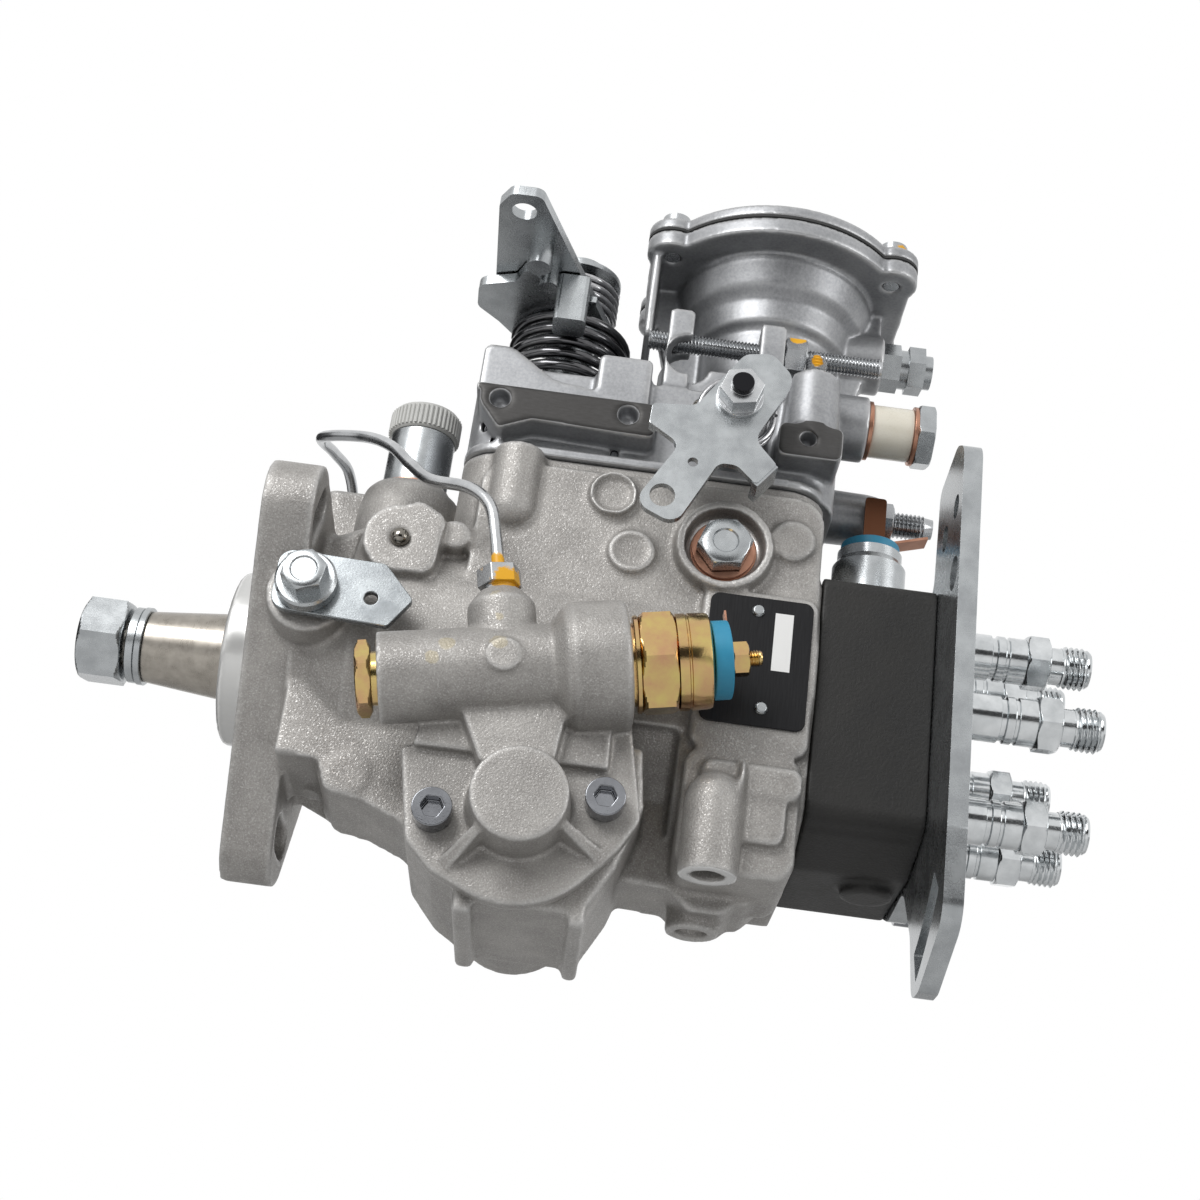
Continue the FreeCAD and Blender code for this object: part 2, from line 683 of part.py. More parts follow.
def rod_lugs():
    """Posts for the long adjusting screw and the boss of the upright one."""
    first = rounded_box("Y", 100.4, 107.6, 80, ROD_Z + 7.4, ROD_Y - 7, ROD_Y + 7, 1.2)
    second = rounded_box("Y", 127, 134.4, 80, ROD_Z + 6.0, ROD_Y - 7, ROD_Y + 9, 1.0)
    bridge = rounded_box("Y", 99, 150, 80, 97, ROD_Y - 2, ROD_Y + 18, 4)
    upright = Part.makeCone(8.4, 7.0, 22.5, V(143.5, -36, 70.5), V(0, 0, 1))
    face = rounded_box("Y", 134, 152, 63.5, 74, SIDE_Y, -26, 2)
    notch = cylinder_y(ROD_Y - 8, ROD_Y + 8, 6.5, 107.0, ROD_Z - 7.8)
    return [first.cut(notch), second, bridge.cut(notch), upright, face]


def compensator_bowl():
    """Stepped bowl below the diaphragm with its square flange and two ribs."""
    bowl = lathe_z([(COVER_TOP_Z - 4, ANEROID_NECK_R + 2), (96, ANEROID_NECK_R), (119, ANEROID_NECK_R), (121, 23.5),
                    (128, 24.5), (131, 27.5), (138, 30), (ANEROID_JOINT_Z, 30.5)], ANEROID_X, 0)
    plate = compensator_plate(ANEROID_FLANGE_Z, ANEROID_JOINT_Z)
    left = rounded_prism("Y", [(95, ANEROID_FLANGE_Z + 1, 0), (95, 134, 3), (108, COVER_TOP_Z - 2, 0),
                               (120, COVER_TOP_Z - 2, 0), (120, ANEROID_FLANGE_Z + 1, 0)], -3, 3)
    right = rounded_prism("Y", [(166.0, ANEROID_FLANGE_Z + 1, 0), (166.0, 134, 3), (153, COVER_TOP_Z - 2, 0),
                                (142, COVER_TOP_Z - 2, 0), (142, ANEROID_FLANGE_Z + 1, 0)], -4, 4)
    boost = cylinder_x(150, BOOST_SEAT_X, 9.0, 0, BOOST_Z)
    return [bowl, plate, left, right, boost]


def compensator_plate(z0, z1):
    """Plate with bulging long sides, straight short sides and four round screw lugs."""
    disc = cylinder_z(z0, z1, ANEROID_R, ANEROID_X, 0)
    sides = rounded_box("Z", ANEROID_X - ANEROID_HALF_X, ANEROID_X + ANEROID_HALF_X, -ANEROID_LUG_Y, ANEROID_LUG_Y, z0, z1, 2)
    lugs = [cylinder_z(z0, z1, ANEROID_LUG_R, x, y) for x, y in compensator_lugs()]
    return disc.fuse([sides] + lugs).removeSplitter()


def compensator_lugs():
    return [(ANEROID_X + sx * ANEROID_LUG_X, sy * ANEROID_LUG_Y) for sx in (-1, 1) for sy in (-1, 1)]


def make_governor_cover():
    body = cover_base().fuse(cover_rail() + rod_lugs() + compensator_bowl())
    collar_z = BIG_SPRING_Z - BIG_SPRING_WIRE_R - FACE_GAP
    collar = lathe_z([(COVER_TOP_Z - 3, 17.0), (COVER_TOP_Z + 5, 14.5), (collar_z - 2, 14.5),
                      (collar_z - 2, BIG_SPRING_R + 1), (collar_z, BIG_SPRING_R + 1)], THROTTLE_X, THROTTLE_Y)
    overflow = cylinder_x(130, OVERFLOW_BOSS_X, OVERFLOW_BOSS_R, OVERFLOW_Y, OVERFLOW_Z)
    full_load = lathe_x([(140, 8.5), (166, 8.0), (170, 7.5)], FULL_LOAD_Y, FULL_LOAD_Z)
    stop_boss = side_boss(STOP_X, STOP_Z, 9.0, -30, -47)
    body = body.fuse([collar, overflow, full_load, stop_boss])
    body = body.cut(box(BOX_X0 - 8, 190, -70, 70, JOINT_Z - 30, JOINT_Z))
    cuts = [rounded_box("Z", ROOM_X0, ROOM_X1, -ROOM_HALF_Y, ROOM_HALF_Y, JOINT_Z - 1, ROOM_TOP_Z, 5)]
    cuts.append(cylinder_z(ROOM_TOP_Z - 1, BIG_SPRING_Z + 1, THROTTLE_SHAFT_R + RUNNING_GAP, THROTTLE_X, THROTTLE_Y))
    cuts.append(lathe_z([(ANEROID_FLOOR_Z, 16), (119, 17), (128, 20.5), (134, 24), (ANEROID_JOINT_Z + 1, 26.5)], ANEROID_X, 0))
    cuts.append(cylinder_z(ROOM_TOP_Z - 1, ANEROID_FLOOR_Z + 1, ANEROID_PIN_R + RUNNING_GAP, ANEROID_X, 0))
    cuts.append(cylinder_x(135, OVERFLOW_BOSS_X + 1, 4.0, OVERFLOW_Y, OVERFLOW_Z))
    cuts.append(cylinder_x(ROOM_X1 - 1, 171, FULL_LOAD_R, FULL_LOAD_Y, FULL_LOAD_Z))
    cuts.append(cylinder_y(-48, -ROOM_HALF_Y + 1, STOP_SHAFT_R + RUNNING_GAP, STOP_X, STOP_Z))
    cuts.append(cylinder_x(99, 136, ROD_R, ROD_Y, ROD_Z))
    cuts.append(cylinder_z(86, 98, ROD_R, 143.5, -36))
    cuts.append(cylinder_x(157, BOOST_SEAT_X + 1, 5.0, 0, BOOST_Z))
    for x in (56.4, 92.1):
        cuts.append(cylinder_y(SIDE_Y - 1, SIDE_Y + 5.5, 2.8, x, 69.5))
    cuts.append(cylinder_y(SIDE_Y - 1, SIDE_Y + 6, 2.2, 142.3, 69.5))
    for x, y in COVER_SCREW_XY:
        cuts.append(cylinder_z(JOINT_Z - 1, COVER_TOP_Z + 1, SCREW_R + 0.2, x, y))
        cuts.append(cylinder_z(JOINT_Z + 9, 125, SCREW_HEAD_R + 0.8, x, y))
    for x, y in compensator_lugs():
        cuts.append(cylinder_z(ANEROID_FLANGE_Z - 1, ANEROID_JOINT_Z + 1, 2.5, x, y))
    return body.cut(cuts).removeSplitter()


def screw_holes_in_housing():
    """Threaded holes of the cover screws and of the timing covers."""
    holes = [(V(x, y, JOINT_Z), V(0, 0, 1)) for x, y in COVER_SCREW_XY]
    for x, z in timing_screws():
        holes.append((V(x, TIMING_BLOCK_Y, z), V(0, -1, 0)))
    for x, z in far_timing_screws():
        holes.append((V(x, TIMING_FAR_Y, z), V(0, 1, 0)))
    return holes


# Boost compensator

def make_aneroid_cover():
    base = ANEROID_JOINT_Z + DIAPHRAGM_T
    rim = compensator_plate(base, ANEROID_TOP_Z)
    dome = lathe_z([(ANEROID_TOP_Z, 34), (ANEROID_TOP_Z + 1.2, 30), (ANEROID_TOP_Z + 1.6, 12)], ANEROID_X, 0)
    hollow = lathe_z([(base - 1, 27), (base + 2.2, 24)], ANEROID_X, 0)
    cuts = [cylinder_z(base - 1, ANEROID_TOP_Z + 1, 2.7, x, y) for x, y in compensator_lugs()]
    return rim.fuse(dome).cut([hollow] + cuts).removeSplitter()


def make_aneroid_screws():
    screw = socket_screw(4.3, 4.2, 2.4, 9.5, 4.0)
    return Part.makeCompound([place(screw, V(0, 0, 1), V(x, y, ANEROID_TOP_Z)) for x, y in compensator_lugs()])


def make_diaphragm():
    """Rubber membrane clamped below the lid, its inner edge drawn down to the pin's disc."""
    plate = compensator_plate(ANEROID_JOINT_Z, ANEROID_JOINT_Z + DIAPHRAGM_T)
    holes = [cylinder_z(ANEROID_JOINT_Z - 1, ANEROID_TOP_Z, 2.7, x, y) for x, y in compensator_lugs()]
    holes.append(cylinder_z(ANEROID_JOINT_Z - 1, ANEROID_TOP_Z, 24.0, ANEROID_X, 0))
    edge_r = ANEROID_DISC_R + 0.2
    cone = lathe_z([(ANEROID_DISC_Z, edge_r + 1), (ANEROID_JOINT_Z, 24.5), (ANEROID_JOINT_Z + DIAPHRAGM_T, 24.5),
                    (ANEROID_JOINT_Z + DIAPHRAGM_T, 24.0), (ANEROID_DISC_Z + DIAPHRAGM_T, edge_r)], ANEROID_X, 0)
    inside = lathe_z([(ANEROID_DISC_Z - 1, edge_r), (ANEROID_DISC_Z + DIAPHRAGM_T, edge_r),
                      (ANEROID_JOINT_Z + DIAPHRAGM_T + 0.1, 24.0)], ANEROID_X, 0)
    return plate.cut(holes).fuse(cone.cut(inside)).removeSplitter()


def make_aneroid_pin():
    """Control pin with its cone, carried by the disc in the diaphragm's middle."""
    disc = ANEROID_DISC_Z
    return lathe_z([(ROOM_TOP_Z + 4, ANEROID_PIN_R - 1.2), (ROOM_TOP_Z + 16, ANEROID_PIN_R), (disc, ANEROID_PIN_R),
                    (disc, ANEROID_DISC_R), (disc + 1.5, ANEROID_DISC_R), (disc + 1.5, ANEROID_PIN_R),
                    (disc + 4, ANEROID_PIN_R)], ANEROID_X, 0)


def make_boost_fitting():
    seat = BOOST_SEAT_X
    hexes = [hexagon("X", seat, seat + 5.5, BOOST_AF, 0, BOOST_Z), hexagon("X", seat + 8, seat + 13, BOOST_AF, 0, BOOST_Z, 12)]
    core = lathe_x([(seat - 9, 4.9), (seat, 4.9), (seat, 6.0), (seat + 8, 6.0), (seat + 8, 5.2), (seat + 15.5, 5.2)],
                   0, BOOST_Z)
    return fuse([core] + hexes).cut(cylinder_x(seat + 4, seat + 20, 2.0, 0, BOOST_Z))


# Drive shaft body

def make_drive_shaft():
    profile = [(SHAFT_FRONT_X, SHAFT_THREAD_R - 0.8), (SHAFT_FRONT_X + 1, SHAFT_THREAD_R),
               (TAPER_START_X, SHAFT_THREAD_R), (TAPER_START_X, TAPER_SMALL_R), (TAPER_END_X, SHAFT_R),
               (SHAFT_REAR_X, SHAFT_R)]
    shaft = lathe_x(profile)
    jaws = [box(SHAFT_REAR_X - 1, SHAFT_JAW_X, -4, 4, 4, 11.5), box(SHAFT_REAR_X - 1, SHAFT_JAW_X, -4, 4, -11.5, -4)]
    return shaft.fuse(jaws).removeSplitter()


def make_drive_nut():
    """Hexagon nut, spring washer and plain washer on the shaft's thread."""
    nut = hexagon("X", NUT_X, NUT_X + NUT_LENGTH, NUT_AF, 0, 0, 12, True)
    nut = nut.cut(cylinder_x(NUT_X - 1, 0, SHAFT_THREAD_R))
    plain = ring("X", TAPER_START_X - WASHER_T, TAPER_START_X, WASHER_R, WASHER_BORE_R)
    spring_end = TAPER_START_X - WASHER_T
    spring = ring("X", spring_end - WASHER_T - 0.7, spring_end, WASHER_R - 0.3, WASHER_BORE_R)
    return Part.makeCompound([nut, spring, plain])


def make_feed_pump_rotor():
    x0 = PUMP_BORE_START_X + 0.1
    x1 = PUMP_BORE_START_X + PUMP_RING_W - 0.1
    rotor = ring("X", x0, x1, PUMP_ROTOR_R, SHAFT_R)
    slots = []
    vanes = []
    for i in range(4):
        slot = box(x0 - 1, x1 + 1, -VANE_T / 2, VANE_T / 2, SHAFT_R + 1.5, PUMP_ROTOR_R + 1)
        vane = box(x0, x1, -VANE_T / 2, VANE_T / 2, SHAFT_R + 1.7, PUMP_ROTOR_R)
        for piece in (slot, vane):
            piece.rotate(V(0, 0, 0), V(1, 0, 0), 90 * i)
        slots.append(slot)
        vanes.append(vane)
    return Part.makeCompound([rotor.cut(slots)] + vanes)


def make_feed_pump_ring():
    x0 = PUMP_BORE_START_X
    x1 = x0 + PUMP_RING_W
    body = cylinder_x(x0, x1, PUMP_BORE_R)
    body = body.cut(cylinder_x(x0 - 1, x1 + 1, PUMP_RING_BORE_R, 0, PUMP_ECCENTRIC))
    plate = ring("X", x1, x1 + PUMP_PLATE_W, PUMP_BORE_R, SHAFT_R + FACE_GAP)
    return Part.makeCompound([body, plate])


def gear(x0, x1, teeth, bore_r, phase):
    """Spur gear about X; the flanks leave some backlash."""
    pitch_r = GEAR_MODULE * teeth / 2
    tip_r = pitch_r + 0.8 * GEAR_MODULE
    root_r = pitch_r - 1.2 * GEAR_MODULE
    step = 2 * math.pi / teeth
    points = []
    for i in range(teeth):
        middle = phase + i * step
        for offset, radius in ((-0.30, root_r), (-0.11, tip_r), (0.11, tip_r), (0.30, root_r)):
            angle = middle + offset * step
            points.append(V(x0, radius * math.cos(angle), radius * math.sin(angle)))
    points.append(points[0])
    blank = Part.Face(Part.makePolygon(points)).extrude(V(x1 - x0, 0, 0))
    return blank.cut(cylinder_x(x0 - 1, x1 + 1, bore_r))


def make_drive_gear():
    return gear(GEAR_X0, GEAR_X0 + GEAR_W, DRIVE_TEETH, SHAFT_R, 0.0)


def make_cam_plate():
    """Plate with six face cams on the rollers' side and jaws for the shaft."""
    plate = cylinder_x(CAM_X0, CAM_X0 + CAM_T, CAM_R)
    drum_r = 26.0
    for i in range(CAM_LOBES):
        lobe = Part.makeCylinder(drum_r, CAM_R, V(CAM_X0 - CAM_LIFT + drum_r, 0, 0), V(0, 0, 1))
        lobe = lobe.common(box(CAM_X0 - CAM_LIFT - 1, CAM_X0 + 1, -12, 12, 15, CAM_R + 5))
        lobe.rotate(V(0, 0, 0), V(1, 0, 0), 30 + 60 * i)
        plate = plate.fuse(lobe)
    plate = plate.common(cylinder_x(CAM_X0 - 10, CAM_X0 + CAM_T, CAM_R))
    jaws = [box(SHAFT_REAR_X + 0.5, CAM_X0 + 1, 4, 11, -4, 4), box(SHAFT_REAR_X + 0.5, CAM_X0 + 1, -11, -4, -4, 4)]
    return plate.fuse(jaws).removeSplitter()


def make_plunger():
    foot_x = CAM_X0 + CAM_T
    return lathe_x([(foot_x, 10), (foot_x + 3, 10), (foot_x + 3, PLUNGER_R), (PLUNGER_X1, PLUNGER_R)])


def make_control_spool():
    x0 = LEVER_PIVOT_X - SPOOL_W / 2
    x1 = LEVER_PIVOT_X + SPOOL_W / 2
    spool = ring("X", x0, x1, SPOOL_R, PLUNGER_R + RUNNING_GAP)
    half = SPOOL_GROOVE_W / 2
    return spool.cut(ring("X", LEVER_PIVOT_X - half, LEVER_PIVOT_X + half, SPOOL_R + 1, SPOOL_GROOVE_R))


def make_barrel():
    return ring("X", BARREL_X0, BARREL_X1, BARREL_R, PLUNGER_R + 0.03)


def make_inner_springs():
    """Plunger return springs, their yoke, the timing spring and the compensator's spring, as plain sleeves."""
    yoke_x = CAM_X0 + CAM_T + FACE_GAP
    yoke = ring("X", yoke_x, yoke_x + 2.5, 25.5, 11.0)
    pieces = [yoke]
    for y in (-18.5, 18.5):
        pieces.append(ring("X", yoke_x + 2.5, HOUSING_END_X - 4, 4.5, 2.8, y, 0))
    spring_end = TIMING_FAR_Y - 2 * FACE_GAP - PISTON_LENGTH + PISTON_BOWL - PISTON_TRAVEL
    pieces.append(ring("Y", TIMING_BLOCK_Y, spring_end, 8.5, 6.0, TIMING_X, TIMING_Z))
    pieces.append(ring("Z", ANEROID_FLOOR_Z, ANEROID_DISC_Z - ANEROID_TRAVEL - FACE_GAP, 12.5, 10.0, ANEROID_X, 0))
    return Part.makeCompound(pieces)


# Governor

def make_governor_shaft():
    return cylinder_x(GOVERNOR_SHAFT_X0, GOVERNOR_SHAFT_X1, GOVERNOR_SHAFT_R, 0, governor_z())


def make_governor_cage():
    """Driven gear with the cage that carries four flyweights."""
    x1 = GEAR_X0 + GEAR_W
    body = gear(GEAR_X0, x1, GOVERNOR_TEETH, GOVERNOR_SHAFT_R + RUNNING_GAP, 0.0)
    posts = []
    for i in range(4):
        post = box(x1 - 1, CAGE_X1, POST_IN, POST_OUT, POST_IN, POST_OUT)
        pin = cylinder_y(-POST_IN - 0.5, POST_IN + 0.5, WEIGHT_PIN_R, WEIGHT_PIVOT_X, WEIGHT_PIVOT_R)
        ear = box(x1 - 1, WEIGHT_PIVOT_X + 3, POST_IN, POST_IN + 1.5, POST_OUT - 0.5, WEIGHT_PIVOT_R + 2.5)
        other = box(x1 - 1, WEIGHT_PIVOT_X + 3, -POST_IN - 1.5, -POST_IN, POST_OUT - 0.5, WEIGHT_PIVOT_R + 2.5)
        for piece in (post, pin, ear, other):
            piece.rotate(V(0, 0, 0), V(1, 0, 0), 90 * i)
            posts.append(piece)
    hub = ring("X", x1 - 1, x1 + 2, SLEEVE_R, GOVERNOR_SHAFT_R + RUNNING_GAP)
    body = body.fuse(posts + [hub]).removeSplitter()
    body.translate(V(0, 0, governor_z()))
    return body


def make_flyweight(index):
    """One flyweight; it swings about its pin and its toe pushes the sleeve's collar."""
    toe = SLEEVE_X0 - 0.2
    outline = [(63.4, 11, 1), (63.4, 15.6, 1.5), (CAGE_X1, 15.6, 2), (CAGE_X1, SLEEVE_COLLAR_R + 0.6, 1),
               (toe + 2.4, SLEEVE_COLLAR_R + 0.6, 0.4), (toe, SLEEVE_COLLAR_R + 0.3, 0), (toe, SLEEVE_R + 0.2, 0.4),
               (toe - 2.2, SLEEVE_R + 0.2, 0.4)]
    weight = rounded_prism("Y", outline, -WEIGHT_HALF_W, WEIGHT_HALF_W)
    bore = cylinder_y(-10, 10, WEIGHT_PIN_R + RUNNING_GAP, WEIGHT_PIVOT_X, WEIGHT_PIVOT_R)
    weight = weight.cut(bore)
    weight.rotate(V(0, 0, 0), V(1, 0, 0), 90 * index)
    weight.translate(V(0, 0, governor_z()))
    return weight


def make_governor_sleeve():
    tip = LEVER_PIVOT_X - LEVER_T / 2 - 0.2
    bore = ring("X", SLEEVE_X0, tip - 3, SLEEVE_R, GOVERNOR_SHAFT_R + RUNNING_GAP)
    collar = ring("X", SLEEVE_X0, SLEEVE_X0 + SLEEVE_COLLAR_W, SLEEVE_COLLAR_R, GOVERNOR_SHAFT_R + RUNNING_GAP)
    crown = lathe_x([(tip - 4, SLEEVE_R), (tip - 3, SLEEVE_R), (tip - 1.2, 4.5), (tip - 0.4, 2.5), (tip, 1.0)])
    body = bore.fuse([collar, crown]).removeSplitter()
    body.translate(V(0, 0, governor_z()))
    return body


def make_governor_lever():
    """Lever between the sleeve and the control spool, with its ball pin below."""
    plate = rounded_prism("X", [(-5, 15, 2), (5, 15, 2), (9, 32, 3), (8, 62, 4), (-8, 62, 4), (-9, 32, 3)],
                          LEVER_PIVOT_X - LEVER_T / 2, LEVER_PIVOT_X + LEVER_T / 2)
    hub = cylinder_y(-12, 12, 5.5, LEVER_PIVOT_X, LEVER_PIVOT_Z)
    pin = cylinder_z(SPOOL_GROOVE_R + 0.9, 18, BALL_PIN_R, LEVER_PIVOT_X, 0)
    bore = cylinder_y(-13, 13, LEVER_PIVOT_R + RUNNING_GAP, LEVER_PIVOT_X, LEVER_PIVOT_Z)
    return plate.fuse([hub, pin]).cut(bore).removeSplitter()


# Timing device

def make_roller_ring():
    """Roller ring with its pin and four rollers."""
    body = ring("X", RING_X0, RING_X1, RING_R, RING_BORE_R)
    pin = cylinder_z(TIMING_Z - 6, -RING_R + 6, TIMING_PIN_R, TIMING_X, 0)
    pockets = []
    rollers = []
    for i in range(ROLLER_COUNT):
        pocket = Part.makeCylinder(ROLLER_R, 13, V(RING_X1, 0, 15.2), V(0, 0, 1))
        roller = Part.makeCylinder(ROLLER_R - 0.05, 10.6, V(RING_X1, 0, 15.8), V(0, 0, 1))
        for piece in (pocket, roller):
            piece.rotate(V(0, 0, 0), V(1, 0, 0), 45 + 90 * i)
        pockets.append(pocket)
        rollers.append(roller)
    return Part.makeCompound([body.fuse(pin).cut(pockets).removeSplitter()] + rollers)


def make_timing_piston():
    """Timing piston, at rest against the far cover; its spring works in the bowl of the near end."""
    end = TIMING_FAR_Y - FACE_GAP
    start = end - PISTON_LENGTH
    piston = cylinder_y(start, end, TIMING_BORE_R - RUNNING_GAP, TIMING_X, TIMING_Z)
    slot = rounded_box("Z", TIMING_X - TIMING_PIN_R - 0.15, TIMING_X + TIMING_PIN_R + 0.15, -6.4, 6.4,
                       TIMING_Z - 7, TIMING_Z + 14, 3.9)
    bowl = cylinder_y(start - 1, start + PISTON_BOWL, 9.0, TIMING_X, TIMING_Z)
    return piston.cut([slot, bowl])


def timing_screws():
    """Screw places of the near timing cover, on a line turned with the device."""
    return [tilted_point(TIMING_X - 21.0, TIMING_Z), tilted_point(TIMING_X + 21.0, TIMING_Z)]


def far_timing_screws():
    places = []
    for angle in FAR_SCREW_ANGLES:
        places.append((TIMING_X + FAR_SCREW_REACH * math.cos(math.radians(angle)),
                       TIMING_Z + FAR_SCREW_REACH * math.sin(math.radians(angle))))
    return places


def make_timing_far_cover():
    plate = cylinder_y(TIMING_FAR_Y, TIMING_FAR_Y + COVER_T, FAR_COVER_R, TIMING_X, TIMING_Z)
    lugs = [cylinder_y(TIMING_FAR_Y, TIMING_FAR_Y + COVER_T, 5.5, x, z) for x, z in far_timing_screws()]
    holes = [cylinder_y(TIMING_FAR_Y - 1, TIMING_FAR_Y + COVER_T + 1, SCREW_R + 0.2, x, z) for x, z in far_timing_screws()]
    return plate.fuse(lugs).cut(holes).removeSplitter()


def make_cold_start_cover():
    """Near timing cover cast in one with the cold start valve's barrel."""
    y0 = TIMING_BLOCK_Y - COVER_T
    plate = rounded_prism("Y", [(50.5, -34, 0), (50.5, -58, 4), (56, -66, 6), (TIMING_X, -82, 24),
                                (102, -64, 6), (108, -57, 4), (108, -26, 0)], y0, TIMING_BLOCK_Y)
    boss = Part.makeCone(13.2, 12, 17, V(TIMING_X, TIMING_BLOCK_Y, TIMING_Z), V(0, -1, 0))
    body = tilted(plate.fuse(boss))
    ribs = []
    for side in (-1, 1):
        rib = box(TIMING_X - 1.6, TIMING_X + 1.6, y0 - 5, y0 + 1, TIMING_Z - 23, TIMING_Z - 8)
        rib.rotate(V(TIMING_X, 0, TIMING_Z), V(0, 1, 0), TILT + side * 55)
        ribs.append(rib)
    barrel = Part.makeCylinder(VALVE_R, COLLAR_START + 1, V(0, 0, 0), V(1, 0, 0))
    collar = lathe_x([(COLLAR_START - 3, VALVE_R), (COLLAR_START, COLLAR_R - 1), (COLLAR_START + 2, COLLAR_R),
                      (COLLAR_END - 1, COLLAR_R), (COLLAR_END, COLLAR_R - 1)])
    tee = Part.makeCylinder(TUBE_BOSS_R, TUBE_BOSS_L, V(TUBE_BOSS_AT, 0, 0), V(0, 0, 1))
    tee_crown = Part.makeCone(TUBE_BOSS_R, 5.5, TUBE_BOSS_CROWN, V(TUBE_BOSS_AT, 0, TUBE_BOSS_L), V(0, 0, 1))
    valve = barrel.fuse([collar, tee, tee_crown])
    bores = [Part.makeCylinder(5.0, 10, V(-1, 0, 0), V(1, 0, 0)), Part.makeCylinder(10.5, 8, V(COLLAR_END - 7, 0, 0), V(1, 0, 0)),
             Part.makeCylinder(3.0, 12, V(TUBE_BOSS_AT, 0, 12), V(0, 0, 1))]
    for piece in [valve] + bores:
        piece.Placement = valve_placement().multiply(piece.Placement)
    web = rounded_prism("Y", [(50.5, -40, 0), (53, -22, 0), (98, -15, 0), (99, -40, 0)], VALVE_Y + 2, TIMING_BLOCK_Y)
    body = body.fuse(ribs + [valve, web]).cut(bores)
    holes = [cylinder_y(y0 - 9, TIMING_BLOCK_Y + 1, SCREW_R + 0.2, x, z) for x, z in timing_screws()]
    return body.cut(holes).removeSplitter()


def valve_placement():
    """Places the cold start valve, built along +X from its left face."""
    turn = FreeCAD.Rotation(V(0, 1, 0), TILT)
    return FreeCAD.Placement(V(VALVE_X0, VALVE_Y, VALVE_Z0), turn)


def make_cold_start_plug():
    plug = fuse([hexagon("X", -5.5, -1.5, 17.0, 0, 0), Part.makeCylinder(6.8, 1.5, V(-1.5, 0, 0), V(1, 0, 0)),
                 Part.makeCylinder(5.0, 8, V(0, 0, 0), V(1, 0, 0))])
    plug.Placement = valve_placement()
    return plug


def make_cold_start_solenoid():
    """Solenoid body with its hexagon, terminal stud and nut."""
    x0 = COLLAR_END
    end = x0 + SOLENOID_L
    hex_x = x0 + SOLENOID_HEX_AT
    body = lathe_x([(x0 - 7, 10.5), (x0 + 1.5, 10.5), (x0 + 1.5, 12.4), (end - 1, 12.2), (end, 11.4)])
    hexa = hexagon("X", hex_x, hex_x + 9.6, 24.0, 0, 0, 15, True)
    stud = lathe_x([(end - 1, 2.2), (end + 13, 2.2)])
    nut = hexagon("X", end + 5.3, end + 9.6, 8.0, 0, 0, 10).cut(cylinder_x(end, end + 20, 2.2))
    pieces = [fuse([body, hexa, stud]), nut]
    for piece in pieces:
        piece.Placement = valve_placement()
    return Part.makeCompound(pieces)


def make_solenoid_insulators():
    """Insulating bushes between the solenoid bodies and their terminals."""
    x0 = COLLAR_END + SOLENOID_L
    side = ring("X", x0, x0 + INSULATOR_L, 10.0, 2.25)
    side.Placement = valve_placement()
    top = ring("Z", SHUTOFF_TOP_Z, SHUTOFF_TOP_Z + 3, 8.6, 2.5, SHUTOFF_X, SHUTOFF_Y)
    return Part.makeCompound([side, top])


def make_terminal_blades():
    x0 = COLLAR_END + SOLENOID_L + INSULATOR_L
    lower = rounded_box("X", -4, 4, -4, 4, x0, x0 + 0.5, 3).fuse(box(x0, x0 + 0.5, -1.6, 1.6, 2, 13))
    lower = lower.cut(cylinder_x(x0 - 1, x0 + 2, 2.25))
    lower.Placement = valve_placement()
    top_z = SHUTOFF_TOP_Z + 3
    washer = ring("Z", top_z, top_z + 0.8, 5.0, 2.5, SHUTOFF_X, SHUTOFF_Y)
    blade = rounded_box("Y", SHUTOFF_X - 3.0, SHUTOFF_X + 3.3, top_z + 0.2, top_z + 14, SHUTOFF_Y - 5.2, SHUTOFF_Y - 4.4, 1)
    side = box(SHUTOFF_X + 4.0, SHUTOFF_X + 17, SHUTOFF_Y - 3, SHUTOFF_Y + 3, 0, 0.8)
    side.rotate(V(SHUTOFF_X + 4, 0, 0), V(0, 1, 0), -17)
    side.translate(V(0, 0, top_z))
    blade = blade.fuse(box(SHUTOFF_X - 3.0, SHUTOFF_X + 3.0, SHUTOFF_Y - 5.2, SHUTOFF_Y - 2.7, top_z, top_z + 0.8))
    return Part.makeCompound([lower, fuse([washer, blade, side])])


# Distributor head and outlets

def head_outline(start, end):
    corners = [(-HEAD_HALF_Y, HEAD_CHAMFER_Z, 5), (-24, HEAD_LOW_Z, 6), (24, HEAD_LOW_Z, 6),
               (HEAD_HALF_Y, HEAD_CHAMFER_Z, 5), (HEAD_HALF_Y, HEAD_TOP_Z, 2.5), (-HEAD_HALF_Y, HEAD_TOP_Z, 2.5)]
    return rounded_prism("X", corners, start, end)


def outlet_places():
    places = []
    for i in range(OUTLET_COUNT):
        angle = 2 * math.pi * i / OUTLET_COUNT
        places.append((OUTLET_CIRCLE_R * math.cos(angle), OUTLET_CIRCLE_R * math.sin(angle)))
    return places


HEAD_SCREW_YZ = ((-35.0, 24.5), (35.0, 24.5), (-29.5, -37.5), (29.5, -37.5))


